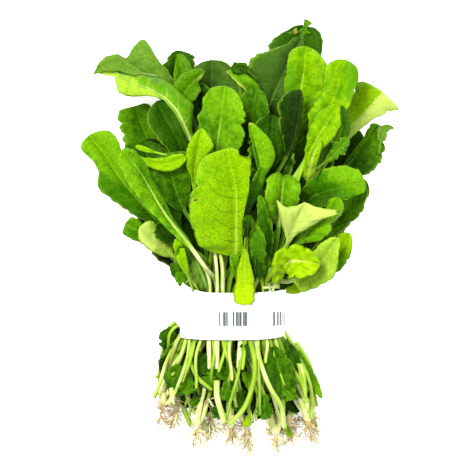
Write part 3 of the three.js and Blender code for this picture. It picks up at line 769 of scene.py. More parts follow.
LOOKS = {
    "leaf_back_crest": look(
        "dark", wavy=1.4, shade=0.2, vein=0.2, swell=1.8,
        left=[(0.28, 10), (0.45, 17), (0.62, 21), (0.76, 22.5), (0.86, 19), (0.92, 12), (0.97, 7)],
        right=[(0.28, 9), (0.5, 15), (0.71, 17), (0.83, 15.5), (0.91, 10), (0.95, 8), (0.98, 6)],
        damage=[(-0.3, 0.93, 1.6, 0.8), (0.0, 0.945, 1.2, 0.7), (-0.6, 0.92, 1.0, 0.6),
                (-0.45, 0.95, 0.9, 1.2)],
    ),
    "leaf_back_olive": look(
        "mid", wavy=1.6, vein=0.3, swell=1.7, gloom=0.9,
        left=[(0.28, 8), (0.45, 14), (0.57, 17), (0.7, 18), (0.79, 18), (0.88, 16.5), (0.95, 13),
              (0.985, 10)],
        right=[(0.3, 7), (0.5, 9), (0.7, 10), (0.89, 11), (0.96, 9.5), (0.99, 6)],
        swept=(0.2, 0.0),
    ),
    "leaf_back_toothed": look(
        "dark", teeth=1.0, wavy=1.6, shade=0.4, vein=0.4,
        left=[(0.3, 5), (0.6, 9), (0.8, 10), (0.89, 8), (0.97, 4)],
        right=[(0.3, 8), (0.5, 10), (0.73, 12.5), (0.9, 10.5), (0.98, 8)],
    ),
    "leaf_back_right": look(
        "dark", vein=0.5, left=[(0.3, 7), (0.5, 9), (0.71, 10), (0.9, 8.5), (0.97, 5)],
        right=[(0.3, 8), (0.63, 12), (0.82, 13.5), (0.93, 10)],
    ),
    "leaf_back_low_right": look(
        "mid", wavy=1.2, shade=0.7, rim=0.5,
        left=[(0.3, 7), (0.52, 9), (0.7, 10), (0.85, 11.5), (0.95, 8)],
        right=[(0.2, 7), (0.31, 9), (0.41, 12.5), (0.5, 10), (0.57, 12), (0.67, 9.5), (0.74, 11.5), (0.82, 9),
               (0.88, 10)],
    ),
    "leaf_back_middle": look("dull", shade=0.45, vein=0.3, swell=1.6),
    "leaf_inner_left": look("dark", shade=0.15, swell=1.4, gloom=0.7),
    "leaf_back_broad": look(
        "dull", wavy=1.2, vein=0.8, swell=2.0, shade=0.1, gloom=1.1, sides=(-0.1, 0.7), vee=(4, 14),
        teeth=0.25,
        left=[(0.15, 7), (0.28, 16), (0.44, 29), (0.56, 30), (0.63, 26.5), (0.73, 24), (0.81, 15), (0.9, 8.5),
              (0.97, 5)],
        right=[(0.28, 9), (0.5, 12), (0.7, 10), (0.85, 7), (0.95, 4.5)],
    ),
    "leaf_inner_rear": look("dark", shade=0.6, vein=0.3),
    "leaf_far_right": look(
        "mid", wavy=1.3, vein=0.8, shade=0.65, gloom=0.9, folds=[(RIGHT, 0.1, 95, 0.86, 1.2)],
        left=[(0.2, 3), (0.39, 3.5), (0.6, 4), (0.76, 4.5), (0.88, 6), (0.97, 5)],
        right=[(0.28, 9), (0.44, 16), (0.63, 18.5), (0.75, 16), (0.86, 12.5), (0.94, 10), (0.99, 6)],
    ),
    "leaf_lobed_wing": look(
        "sage", wavy=0.9, vein=0.3, swell=1.5, shade=0.3, gloom=0.6, vee=(12, 3),
        right=[(0.12, 5), (0.28, 8), (0.45, 10), (0.55, 11), (0.62, 14.5), (0.7, 20), (0.745, 17), (0.79, 8),
               (0.84, 6.5), (0.89, 8), (0.94, 4.5)],
    ),
    "leaf_inner_right": look("dark", shade=0.6, vein=0.4),
    "leaf_rear_point": look(
        "mid", shade=0.0, vein=0.3, rim=0.7, left=[(0.28, 4), (0.5, 7), (0.7, 6.5), (0.85, 3.5), (0.95, 1)]
    ),
    "leaf_inner_low": look("dark", shade=0.8, vein=0.3),
    "leaf_rear_curved": look("mid", shade=0.15, vein=0.3, rim=0.7, folds=[(RIGHT, 0.3, 120, 0.8, 1.2)]),
    "leaf_left_dark": look(
        "dark", shade=0.0, vein=0.35, swell=1.6, gloom=0.9, sides=(-0.1, 0.4), rim=0.5,
        left=[(0.28, 8), (0.45, 10), (0.55, 12), (0.7, 14), (0.83, 14), (0.92, 10)],
        right=[(0.28, 9), (0.38, 11), (0.62, 14), (0.87, 15), (0.95, 10)],
    ),
    "leaf_left_big": look(
        "bright", wavy=0.8, vein=0.35, shade=0.4, swell=2.0, gloom=2.3, vee=(4, 18), sides=(0.8, -0.35),
        left=[(0.15, 4), (0.26, 8), (0.33, 11), (0.44, 14), (0.53, 17), (0.61, 18.5), (0.67, 16.5),
              (0.72, 12), (0.78, 10.5), (0.85, 10.5), (0.93, 12), (0.98, 8)],
        right=[(0.28, 7), (0.45, 10), (0.62, 11.5), (0.73, 10.5), (0.86, 13.5), (0.95, 12)],
    ),
    "leaf_rear_rolled": look("bright", shade=0.6, vein=0.3, folds=[(LEFT, 0.3, 110, 0.3, 1.2)]),
    "leaf_top_bright": look(
        "lime", shade=0.45, vein=1.1, wavy=0.7, gloom=0.9, vee=(4, 12), swell=1.5, sides=(0.35, 0.05),
        crease=0.5,
        left=[(0.15, 5), (0.3, 9), (0.45, 11), (0.6, 13), (0.75, 13), (0.91, 11), (0.97, 7)],
        right=[(0.15, 7), (0.3, 13), (0.45, 16), (0.58, 18), (0.7, 19), (0.83, 17), (0.92, 12), (0.98, 6)],
    ),
    "leaf_pale_fan": look(
        "lime", shade=0.25, wavy=0.9, vein=0.9, turned=RIGHT, vee=(-5, -14), gloom=1.3, sides=(-0.1, 0.1),
        left=[(0.1, 5), (0.28, 10), (0.45, 13), (0.67, 16), (0.8, 18), (0.9, 19), (0.96, 16)],
        right=[(0.28, 5), (0.45, 7), (0.65, 9), (0.8, 13), (0.9, 16), (0.97, 16)],
    ),
    "leaf_small_left": look(
        "bright", shade=0.5, teeth=0.4, left=[(0.2, 4), (0.4, 6.5), (0.85, 7.5), (0.97, 6)],
        right=[(0.2, 4), (0.5, 6), (0.85, 6.5), (0.97, 5)],
    ),
    "leaf_inner_low_left": look("dark", shade=0.7, vein=0.3),
    "leaf_shaded_rear": look("mid", shade=0.75, vein=0.4),
    "leaf_shaded_centre": look(
        "dark", shade=0.6, ruffle=2.2, swell=1.8, wavy=1.8, vein=0.3, teeth=0.7, pucker=2.2, gloom=1.1,
        rim=0.5,
        left=[(0.2, 8), (0.37, 13), (0.6, 16), (0.75, 16.5), (0.9, 14), (0.97, 9)],
        right=[(0.2, 8), (0.45, 15), (0.61, 16.5), (0.77, 13), (0.9, 9)],
    ),
    "leaf_draped_left": look(
        "soft", wavy=0.9, vein=1.1, shade=0.4, swell=1.6, gloom=1.7, vee=(10, -6), petiole=0.9, crease=0.55,
        sides=(-0.2, 0.45), rim=0.6,
        left=[(0.12, 2.2), (0.3, 2.6), (0.5, 4), (0.6, 7.5), (0.68, 10.5), (0.75, 11.5), (0.8, 10.5),
              (0.83, 6), (0.855, 2), (0.93, 1)],
        right=[(0.1, 4.5), (0.19, 10), (0.27, 15.5), (0.33, 14.5), (0.42, 12.5), (0.5, 12), (0.57, 11),
               (0.66, 8.5), (0.75, 5), (0.82, 4), (0.9, 4), (0.96, 2.6)],
    ),
    "leaf_shaded_right": look(
        "dark", shade=1.0, vein=0.4, vee=(14, 6), gloom=1.0,
        left=[(0.2, 6), (0.38, 12.5), (0.6, 16), (0.8, 17), (0.92, 12)],
        right=[(0.3, 2.5), (0.6, 3.5), (0.85, 3)],
    ),
    "leaf_right_big": look(
        "lime", shade=0.5, wavy=0.7, swell=1.8, petiole=0.3, vee=(-4, 12), gloom=0.3,
        sides=(0.1, 0.3),
        left=[(0.2, 3), (0.3, 8.5), (0.35, 10), (0.4, 13), (0.45, 12), (0.51, 12.5), (0.6, 10), (0.67, 10),
              (0.8, 12), (0.9, 11.5), (0.97, 7)],
        right=[(0.15, 7), (0.3, 12), (0.5, 14), (0.7, 14), (0.9, 13), (0.96, 10)],
    ),
    "leaf_left_underside": look(
        "bright", under=True, wavy=1.2, ruffle=1.4, vein=0.8, petiole=0.4, shade=0.6, gloom=1.0,
        sides=(0.0, 0.5),
        left=[(0.15, 5), (0.4, 8.5), (0.7, 9.5), (0.9, 7.5), (0.97, 4)],
        right=[(0.15, 5), (0.4, 8), (0.7, 9), (0.9, 8), (0.97, 5)],
    ),
    "leaf_right_rounded": look(
        "bright", shade=1.15, wavy=0.9, vein=0.3, swell=2.0, gloom=2.8, vee=(3, 10), sides=(-0.3, 0.6),
        rim=0.7, folds=[(RIGHT, 0.7, 80, 0.6, 0.9)],
        left=[(0.15, 5), (0.28, 9), (0.45, 13), (0.6, 16), (0.7, 16), (0.87, 13.5), (0.95, 10)],
        right=[(0.15, 5), (0.28, 9), (0.45, 11), (0.64, 11), (0.77, 12), (0.86, 11.5), (0.95, 9)],
    ),
    "leaf_glossy_left": look("dark", ruffle=2.2, swell=2.2, pucker=3.0, shade=0.2, vein=0.4),
    "leaf_middle_round": look(
        "bright", vein=0.85, shade=0.4, wavy=0.8, swell=1.8, petiole=0.8, vee=(6, 11), gloom=0.7,
        sides=(0.3, 0.0),
        left=[(0.15, 5), (0.28, 10), (0.45, 14), (0.52, 14.5), (0.62, 17), (0.69, 14.5), (0.8, 14.5),
              (0.9, 12.5), (0.97, 8)],
        right=[(0.15, 7), (0.28, 15), (0.4, 19), (0.5, 20), (0.57, 17.5), (0.6, 15.5), (0.65, 18),
               (0.72, 18.5), (0.81, 16), (0.9, 13), (0.97, 7.5)],
    ),
    "leaf_right_stalked": look(
        "lime", shade=0.3, wavy=0.9, petiole=0.3, vee=(12, -8), gloom=0.1, swell=1.4, tint=-0.5,
        left=[(0.0, 3.4), (0.1, 4), (0.2, 5), (0.3, 7), (0.44, 9), (0.6, 9.5), (0.8, 8), (0.93, 5)],
        right=[(0.0, 3.4), (0.1, 4.5), (0.21, 7), (0.39, 10), (0.6, 11), (0.8, 10), (0.93, 6)],
    ),
    "leaf_folded_left": look(
        "mid", shade=0.5, wavy=0.5, vein=0.4, swell=1.2, arch=0.6, gloom=0.4,
        left=[(0.1, 5), (0.25, 9), (0.5, 13), (0.7, 16), (0.88, 17.5), (0.96, 14)],
        right=[(0.1, 5), (0.25, 9), (0.5, 13), (0.7, 15), (0.88, 16), (0.96, 13)],
    ),
    "leaf_right_low": look(
        "lime", shade=0.6, wavy=0.8, petiole=0.0, gloom=1.0,
        left=[(0.3, 6), (0.48, 7), (0.7, 8), (0.82, 7.5), (0.93, 5)],
        right=[(0.13, 6), (0.36, 8.5), (0.6, 8.5), (0.89, 5.5)],
    ),
    "leaf_yellow_tip": look(
        "bright", shade=0.25, wavy=0.5, vein=0.2, gloom=0.6, sides=(0.6, -0.5), rim=0.9,
        damage=[(0.3, 1.0, 2.4, 0.6), (-0.5, 0.99, 2.2, 0.6)],
        left=[(0.28, 2.5), (0.43, 3.5), (0.71, 2.5), (0.9, 2)],
        right=[(0.2, 6), (0.28, 9), (0.41, 11.5), (0.55, 11.5), (0.7, 9.5), (0.9, 5)],
    ),
    "leaf_bright_left": look(
        "lime", shade=-0.5, vein=0.2, wavy=0.6, swell=1.6, gloom=0.6, vee=(14, 4),
        left=[(0.19, 3), (0.35, 6.5), (0.5, 8.5), (0.67, 8.5), (0.85, 6), (0.95, 3)],
        right=[(0.3, 4), (0.45, 5), (0.59, 7), (0.73, 10.5), (0.85, 8.5), (0.93, 5)],
    ),
    "leaf_cupped_right": look(
        "bright", vein=1.5, tip_roll=(0.62, -75), arch=2.2, gloom=1.0, ruffle=1.5,
        sides=(-0.1, 0.4), rim=1.0,
        left=[(0.15, 6), (0.4, 12), (0.7, 15), (0.9, 13), (0.97, 9)],
        right=[(0.15, 6), (0.4, 12), (0.7, 14), (0.9, 12), (0.97, 8)],
    ),
    "leaf_right_shade": look("bright", shade=0.45, wavy=1.6, teeth=0.6, rim=0.7),
    "leaf_dark_low_left": look(
        "mid", shade=0.7, wavy=1.6, ruffle=1.8, vein=0.8, crease=0.9, rim=0.9, sides=(-0.3, 0.5)
    ),
    "leaf_right_lobed": look(
        "soft", shade=-0.1, wavy=0.9, vein=0.7, gloom=-0.5, vee=(10, -5), sides=(0.0, 0.2),
        left=[(0.1, 5), (0.3, 9), (0.5, 10), (0.7, 9), (0.9, 6)],
        right=[(0.0, 8), (0.2, 11), (0.51, 13.5), (0.7, 11), (0.83, 7.5), (0.95, 4)],
    ),
    "leaf_narrow_upright": look(
        "mid", shade=0.9, wavy=0.9, vein=0.2, gloom=2.2, vee=(20, 8), petiole=0.0, rim=0.6
    ),
    "leaf_long_left": look(
        "bright", wavy=0.8, vein=1.6, tint=0.8, swell=1.8, ruffle=1.4, petiole=0.9, vee=(5, 18),
        sides=(-0.1, 0.8),
        left=[(0.2, 4.5), (0.38, 7.5), (0.57, 12), (0.75, 14.5), (0.92, 11.5), (0.98, 7)],
        right=[(0.2, 2.5), (0.42, 4), (0.64, 4.5), (0.86, 6), (0.95, 5.5)],
    ),
    "leaf_pale_folded": look(
        "lime", under=True, wavy=0.3, vein=1.1, swell=1.4, arch=1.4, shade=-0.5, gloom=0.2, vee=(6, -6),
        sides=(0.0, 0.3), swept=(0.9, 0.65),
        left=[(0.03, 1.5), (0.1, 5.5), (0.19, 10.6), (0.3, 16.5), (0.38, 20.5), (0.45, 15.5), (0.65, 8),
              (0.85, 3.5)],
        right=[(0.1, 3), (0.25, 7), (0.41, 12), (0.6, 19), (0.74, 25.5), (0.83, 15), (0.9, 8), (0.97, 3)],
    ),
    "leaf_crumpled": look(
        "yellow", ruffle=2.8, swell=2.4, pucker=2.4, wavy=2.2, vein=1.6, shade=0.75, petiole=0.4, crease=1.5,
        left=[(0.0, 4), (0.17, 10), (0.45, 11), (0.79, 10), (0.93, 6)],
        right=[(0.2, 9), (0.57, 12.5), (0.75, 12), (0.91, 8)],
    ),
    "leaf_front_centre": look(
        "lime", wavy=0.4, vein=1.1, shade=-0.25, swell=1.9, arch=0.8, vee=(5, 12), petiole=0.5, gloom=-0.6,
        sides=(0.5, -0.3),
        left=[(0.0, 19), (0.06, 24), (0.18, 29), (0.27, 31), (0.36, 33), (0.48, 34.5), (0.6, 34), (0.7, 31.5),
              (0.8, 28), (0.9, 24), (0.96, 19), (0.99, 13)],
        right=[(0.0, 5.5), (0.1, 5), (0.37, 5), (0.5, 7), (0.66, 10), (0.78, 12.5), (0.87, 14.5), (0.95, 15),
               (0.99, 12)],
        folds=[(RIGHT, 0.45, 125, 0.93, 1.2)],
        damage=[(-0.87, 0.6, 0.55, 5.0), (-0.75, 0.17, 0.5, 5.0), (0.3, 0.5, 0.8, 0.3)],
    ),
    "lower_leaf_right": look(
        "mid", shade=0.55, wavy=3.4, teeth=1.6, swell=2.4, ruffle=2.2, gloom=0.1,
        left=[(0.1, 5), (0.3, 9), (0.5, 11), (0.7, 9), (0.9, 5)],
        right=[(0.1, 5), (0.3, 10), (0.45, 9), (0.6, 9.5), (0.8, 7), (0.93, 4)],
    ),
    "lower_leaf_middle": look("mid", shade=0.5, wavy=1.6, ruffle=2.0, vein=0.2),
    "lower_leaf_left": look("mid", shade=0.3, wavy=2.2, teeth=0.9, ruffle=2.2, vein=0.2),
    "leaf_over_band": look(
        "yellow", wavy=1.6, vein=0.5, petiole=0.9, tint=-0.9, ruffle=2.0, swell=1.8, gloom=1.0,
        left=[(0.06, 1.6), (0.15, 2.6), (0.3, 4), (0.5, 6), (0.7, 7.6), (0.88, 7.4), (0.96, 6.6), (0.99, 5)],
        right=[(0.06, 1.6), (0.15, 2.6), (0.3, 4.4), (0.5, 6), (0.7, 6.8), (0.88, 7.2), (0.96, 6.2),
               (0.99, 4)],
    ),
}


def side_reach(s, loft, half, side, style):
    """The half width on one side at each row, in metres, before waves and lobes."""
    length = np.linalg.norm(half, axis=1)
    foot = len(loft.along) - BLADE_RINGS
    s_foot = loft.along[foot]
    blade = (loft.along[-1] - s_foot) / LAST_STATION
    profile = style["left"] if side == LEFT else style["right"]
    knots = [-STALK_IN_CROWN, *loft.along]
    values = [length[0], *length]
    if profile:
        stem = length[foot - 1]
        knots = [-STALK_IN_CROWN, *loft.along[:foot], s_foot - 0.035 * blade]
        values = [length[0], *length[:foot], stem]
        if profile[0][0] > 0:
            knots.append(s_foot + 0.02 * blade)
            values.append(stem * 1.15)
        knots += [s_foot + max(place, 0.004) * blade for place, _ in profile]
        values += [wide * MM for _, wide in profile]
    knots = np.array([*knots, s_foot + blade + 1e-6])
    squared = spline(s, knots, np.square([*values, 0.0]))
    return np.sqrt(np.maximum(squared, (0.05 * MM) ** 2))


def waviness(t, style, rng):
    """What the half width is multiplied by at shares t of the blade's length: waves and teeth."""
    share = 1.0 + 0.05 * style["wavy"] * Waves(rng, 0.06, 0.45)(t) * smooth(t / 0.2)
    share = share + 0.02 * style["wavy"] * Waves(rng, 0.045, 0.1)(t) * smooth(t / 0.2)
    for place in rng.uniform(0.3, 0.97, 3):
        share = share - rng.uniform(0.0, 0.11) * np.exp(-(((t - place) / 0.016) ** 2))
    if style["teeth"]:
        saw = np.abs(((t * 13.0) % 1.0) - 0.35)
        share = share + style["teeth"] * 0.16 * (0.5 - saw) * smooth((t - 0.3) / 0.3)
    return share


def fold_angle(side, u, t, style):
    """How far a side has turned up at share u of its width, in radians."""
    angle = np.zeros(np.broadcast_shapes(u.shape, t.shape))
    for fold_side, start, degrees, first, last in style["folds"]:
        if fold_side == side:
            along = smooth((t - first + 0.05) / 0.1) * (1.0 - smooth((t - last) / 0.1))
            angle = angle + math.radians(degrees) * smooth((u - start) / 0.3) * along
    return angle


def rolled_tip(c, n, s, t, place, degrees):
    """Bends a midrib upwards from a place on, without changing its length."""
    first = int(np.argmax(t > place))
    ahead, up = unit(c[first] - c[first - 1]), n[first].copy()
    c, n = c.copy(), n.copy()
    for i in range(first, len(s)):
        angle = math.radians(degrees) * smooth((t[i] - place) / (1.0 - place) * 1.1)
        c[i] = c[i - 1] + (s[i] - s[i - 1]) * (math.cos(angle) * ahead + math.sin(angle) * up)
        n[i] = math.cos(angle) * up - math.sin(angle) * ahead
    return c, n, first


def blade_height(s, t, a, edge, w, signed, phase, style, rng):
    """How far the blade stands off its plain bent sheet, and how much of that is small creases."""
    in_blade = smooth(t / 0.12)[:, None]
    size = np.clip(w / (12 * MM), 0.3, 1.4)
    slopes = style["vee"] or rng.uniform(3, 13, 2)
    slope = np.where(signed < 0, *(math.tan(math.radians(degrees)) for degrees in slopes))
    vee = slope * a * (1.0 - 0.3 * edge)
    arch = 0.15 * style["arch"] * w * np.sin(math.pi * np.minimum(edge, 1.0))
    swell = 1.0 * MM * style["swell"] * (Swells(rng, 13 * MM, 60 * MM)(signed, s[:, None]) + 0.4) * size
    between = np.abs(np.sin(math.pi * phase)) ** 0.8 - 0.5
    lumps = Swells(rng, 3.5 * MM, 10 * MM)(signed, s[:, None])
    pucker = 0.42 * MM * style["pucker"] * (0.6 * between + 0.6 * lumps)
    pucker = pucker * smooth(a / (4 * MM)) * (1 - edge**4) * size
    valley = -0.5 * MM * np.exp(-((a / (1.5 * MM)) ** 2))
    waves = {side: Waves(rng, 8 * MM, 36 * MM) for side in (LEFT, RIGHT)}
    margin = np.where(signed < 0, waves[LEFT](s)[:, None], waves[RIGHT](s)[:, None])
    ruffle = 1.7 * MM * style["ruffle"] * margin * edge**2.6 * size
    crumple = style["crease"] * MM * (1.0 - 2.0 * np.abs(Swells(rng, 7 * MM, 20 * MM)(signed, s[:, None])))
    return (vee + arch + swell + pucker + valley + ruffle + crumple) * in_blade, (pucker + crumple) / MM


LEAF_GAP = 0.2 * MM
LEAST_ROOM = 0.12 * MM
ROOM_REACH = 2  # the room is made even over this many rows and columns each way


def half_room(free):
    """The part of the room on one side that a blade may take, without sudden steps."""
    even = spread(spread(free, ROOM_REACH, np.min), ROOM_REACH, np.mean)
    return np.maximum(even * 0.5 - LEAF_GAP, LEAST_ROOM)


def kept_in(height, above, below):
    """The heights, eased so that a blade takes at most half of the room to its neighbours."""
    above, below = half_room(above), half_room(below)
    return np.where(height > 0, above * np.tanh(height / above), below * np.tanh(height / below))


def build_leaf(name, loft, style, rng, tree, spacing=BLADE_SPACING):
    """A leaf with its stalk, as a closed thin sheet that follows the rings."""
    foot = len(loft.along) - BLADE_RINGS
    s_foot = loft.along[foot]
    blade_length = (loft.along[-1] - s_foot) / LAST_STATION
    start = unit(loft.centre[1] - loft.centre[0])
    end = unit(loft.centre[-1] - loft.centre[-2])
    s_tip = s_foot + blade_length
    knots = np.concatenate([[-STALK_IN_CROWN], loft.along, [s_tip + 1e-6]])

    def padded(first, middle, last):
        return np.concatenate([[first], middle, [last]])

    tip = loft.centre[-1] + end * (s_tip - loft.along[-1])
    centre = padded(loft.centre[0] - start * STALK_IN_CROWN, loft.centre, tip)
    half = {LEFT: loft.left - loft.centre, RIGHT: loft.right - loft.centre}
    up = unit(loft.top - loft.bottom)
    rib = np.linalg.norm(loft.top - loft.bottom, axis=1) / 2

    # Rows along the leaf, closer together towards the tip
    s_blade = s_foot - BLADE_START * blade_length
    rows = int(np.clip(blade_length / spacing, *BLADE_ROWS))
    stalk_rows = int(np.clip((s_blade + STALK_IN_CROWN) / STALK_STEP, *STALK_ROWS))
    stalk_s = np.linspace(-STALK_IN_CROWN, s_blade, stalk_rows, endpoint=False)
    blade_shares = 1.0 - (1.0 - np.linspace(0, 1, rows)) ** 1.12
    s = np.concatenate([stalk_s, s_blade + blade_shares * (s_tip - s_blade)])
    t = (s - s_foot) / blade_length

    c = spline(s, knots, centre)
    n = unit(spline(s, knots, padded(up[0], up, up[-1])))
    r = np.maximum(spline(s, knots, padded(rib[0], rib, rib[-1] * 0.6)), THINNEST_RIB)
    beyond_band = np.abs((c[:, 1] - BAND_MIDDLE[1]) / MM)
    r = r * (1.0 - 0.24 * smooth((beyond_band - 15) / 20))
    reach, direction = {}, {}
    for side in (LEFT, RIGHT):
        plain = side_reach(s, loft, half[side], side, style)
        reach[side] = np.where(t > -0.02, plain * waviness(np.clip(t, 0, 1), style, rng), plain)
        away = unit(half[side])
        direction[side] = unit(spline(s, knots, padded(away[0], away, away[-1])))
    drift = 0.8 * MM * Waves(rng, 40 * MM, 160 * MM, 4)(s) * smooth(s / (20 * MM))
    c = c + direction[RIGHT] * drift[:, None]
    if style["tip_roll"]:
        c, n, first = rolled_tip(c, n, s, t, *style["tip_roll"])
        for side in (LEFT, RIGHT):
            direction[side][first:] = direction[side][first]

    # Columns across it, from the left edge to the right edge
    widest = max(reach[LEFT].max(), reach[RIGHT].max())
    columns = int(np.clip(widest / (1.25 * spacing), *BLADE_COLUMNS))
    u = np.linspace(0.0, 1.0, columns + 1) ** 0.9
    u_all = np.concatenate([-u[:0:-1], u])
    edge = np.abs(u_all)[None, :] * np.ones((len(s), 1))
    on_left = (u_all < 0)[None, :]
    w = np.where(on_left, reach[LEFT][:, None], reach[RIGHT][:, None])
    a = edge * w
    signed = np.sign(u_all)[None, :] * a
    shift = np.where(on_left, rng.uniform(0, 1), rng.uniform(0, 1))
    lean = 0.55 * a + 0.45 * a**2 / np.maximum(w, 1 * MM)
    bent = 0.12 * Waves(rng, 12 * MM, 40 * MM, 3)(a)
    phase = ((s - s_foot)[:, None] - lean) / (VEIN_SPACING * MM) + shift + bent

    sheet, normal = {}, {}
    ahead = unit(np.gradient(c, axis=0)) * smooth(t / 0.1)[:, None]
    for side, swept in zip((LEFT, RIGHT), style["swept"]):
        across = u[None, :] * reach[side][:, None]
        angle = fold_angle(side, u[None, :], t[:, None], style)
        middle = (angle[:, 1:] + angle[:, :-1]) / 2
        step = np.diff(across, axis=1)
        x = np.concatenate([np.zeros((len(s), 1)), np.cumsum(step * np.cos(middle), axis=1)], axis=1)
        h = np.concatenate([np.zeros((len(s), 1)), np.cumsum(step * np.sin(middle), axis=1)], axis=1)
        away, rise = direction[side][:, None, :], n[:, None, :]
        outwards = away + ahead[:, None, :] * swept
        sheet[side] = c[:, None, :] + outwards * x[:, :, None] + rise * h[:, :, None]
        normal[side] = rise * np.cos(angle)[:, :, None] - away * np.sin(angle)[:, :, None]
    middle_sheet = np.concatenate([sheet[LEFT][:, :0:-1], sheet[RIGHT]], axis=1)
    middle_normal = np.concatenate([normal[LEFT][:, :0:-1], normal[RIGHT]], axis=1)

    height, creases = blade_height(s, np.clip(t, 0, 1), a, edge, w, signed, phase, style, rng)
    in_blade = slice(stalk_rows, None)
    points = middle_sheet[in_blade]
    above = room(tree, points, (0, 0, 1), MOST_ROOM)
    below = np.minimum(room(tree, points, (0, 0, -1), MOST_ROOM), points[:, :, 2])
    height[in_blade] = kept_in(height[in_blade], above, below)

    # The section across: a round stalk with a groove becomes a thin sheet with a rib below
    flat = np.where(t > -0.045, smooth(((reach[LEFT] + reach[RIGHT]) / 2 - r) / (5 * MM)), 0.0)
    flat = np.maximum(flat, smooth(t / 0.06) * 0.999)
    f = flat[:, None, None]
    turn = -1.0 if style["under"] else 1.0
    angle = math.pi / 2 * (1.0 - u_all)
    tapering = 1.0 - 0.35 * np.clip(t, 0, 1)[:, None]
    rib_below = r[:, None] * RIB_DEPTH * np.exp(-((a / (RIB_DEPTH * r[:, None])) ** 2)) * tapering
    thick = SHEET / 2 * np.clip((1.02 - edge) * 12, 0.25, 1.0)
    groove = 0.38 * np.exp(-(((angle - math.pi / 2) / 0.5) ** 2))
    surfaces = []
    for top in (1.0, -1.0):
        face = top * thick - turn * rib_below * (turn * top < 0)
        thin = middle_sheet + middle_normal * (height + face)[:, :, None]
        depth = 1.0 - groove * (turn * top > 0)
        around_x = np.cos(angle)[None, :] * r[:, None] * 1.08
        around_z = top * np.sin(angle)[None, :] * r[:, None] * depth[None, :]
        ring = c[:, None, :] + direction[RIGHT][:, None, :] * around_x[:, :, None]
        ring = ring + n[:, None, :] * around_z[:, :, None]
        surfaces.append(ring * (1 - f) + thin * f)
    # The edges are one point each, shared by the two surfaces
    upper, lower = surfaces
    upper[:, 0] = (upper[:, 0] + lower[:, 0]) / 2
    upper[:, -1] = (upper[:, -1] + lower[:, -1]) / 2
    points = np.concatenate([upper, lower[:, -2:0:-1]], axis=1)
    sides = points.shape[1]

    def round_the_leaf(values):
        values = np.broadcast_to(values, (len(s), len(u_all)))
        return np.concatenate([values, values[:, -2:0:-1]], axis=1)

    uv = np.stack([round_the_leaf(signed), round_the_leaf((s - s_foot)[:, None])], axis=-1) / MM
    faces = tube_faces(len(s), sides)
    material = LEAF_MATERIALS[style["tone"]]
    piece = add_piece(name, points.reshape(-1, 3), faces, material, uv=uv.reshape(-1, 2))
    is_top = np.concatenate([np.ones(len(u_all)), np.zeros(len(u_all) - 2)])
    lower_side = np.broadcast_to(is_top if style["under"] else 1.0 - is_top, (len(s), sides)).copy()
    if style["turned"]:
        turned = smooth(round_the_leaf(signed * style["turned"]) / (0.8 * MM))
        lower_side = lower_side + turned * (1.0 - 2.0 * lower_side)
    tint = rng.uniform(-0.9, 0.9) if style["tint"] is None else style["tint"]
    share = np.clip(t, 0, 1)[:, None]
    in_blade_share = smooth(share / 0.1)
    # The blade's shade: its own tone and partly painted shade, with swells that vary it at random.
    cloud = style["shade"] + 0.24 * Swells(rng, 18 * MM, 70 * MM)(signed, s[:, None])
    # Painted shade towards the foot, where the blade goes under other leaves; below 0 it is painted light.
    cloud = cloud + style["gloom"] * (0.55 - share)
    # Painted shade on each half towards its edge, by how that half faces the light; below 0 it is painted
    # light.
    cloud = cloud + np.where(signed < 0, *style["sides"]) * (0.35 + 0.65 * edge) * in_blade_share
    # Painted shade in the creases and painted light on the ridges of the crumpled, puckered blade.
    cloud = cloud - 0.3 * np.clip(creases, -1.2, 1.2)
    vein = style["vein"] * (1.0 - 0.7 * smooth((share - 0.35) / 0.6))
    above_band = smooth(((c[:, 1] - BAND_MIDDLE[1]) / MM - 12) / 22)[:, None]
    spots = np.zeros_like(signed)
    for across, along, radius, strength in style["damage"]:
        apart = np.hypot(signed - across * w, (s - s_foot)[:, None] - along * blade_length) / (radius * MM)
        spots = np.maximum(spots, strength * np.exp(-(apart**2)))
    set_attribute(piece, "under", lower_side)
    set_attribute(piece, "margin", round_the_leaf(edge * flat[:, None]))
    set_attribute(piece, "stalk", round_the_leaf(1.0 - smooth(flat * 1.2)[:, None]))
    # Above the band the stalk takes the blade's colours, partly painted shade.
    set_attribute(piece, "leafy", round_the_leaf(above_band * (1.0 - style["petiole"])))
    set_attribute(piece, "vein_phase", round_the_leaf(phase))
    set_attribute(piece, "vein_strength", round_the_leaf(vein))
    set_attribute(piece, "shade", round_the_leaf(cloud))
    set_attribute(piece, "damage", round_the_leaf(spots))
    set_attribute(piece, "rim", np.full((len(s), sides), style["rim"]))
    set_attribute(piece, "tint", np.full((len(s), sides), tint))
    return piece


LEAF_MATERIALS = {tone: leaf_material("leaf_" + tone, tone) for tone in TONES}
SOLIDS = Solids()
FEET = []
LEAF_SEED, CROWN_SEED, TANGLE_SEED, BAND_SEED = 100, 500, 600, 7

for number, (leaf_node, leaf_look) in enumerate(LOOKS.items()):
    leaf_loft = Loft(leaf_node)
    FEET.append((leaf_loft.centre[0], unit(leaf_loft.centre[1] - leaf_loft.centre[0])))
    leaf_rng = np.random.default_rng(LEAF_SEED + number)
    leaf = build_leaf("bunch_" + leaf_node, leaf_loft, leaf_look, leaf_rng, SOLIDS.without(leaf_node))
    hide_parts(leaf_node)


# ---------------------------------------------------------------- crowns and roots

ROOT = root_material("root_skin")
LOWEST = 0.35 * MM
HAIR_STEPS = 15
HAIR_WANDER = 0.21
HAIR_PULL = np.array((0, -0.05, -0.12))  # outwards, and down to the table
HAIR_SIDES = 5
CROWN_RINGS = 44
CROWN_SIDES = 18
HAIRS = (40, 50)
SHEATH_REACH = 11 * MM  # how near its crown a leaf's foot is
SOILED = {"crown_upper_1": 0.55, "crown_upper_5": 0.35}  # how brown these crowns' roots are


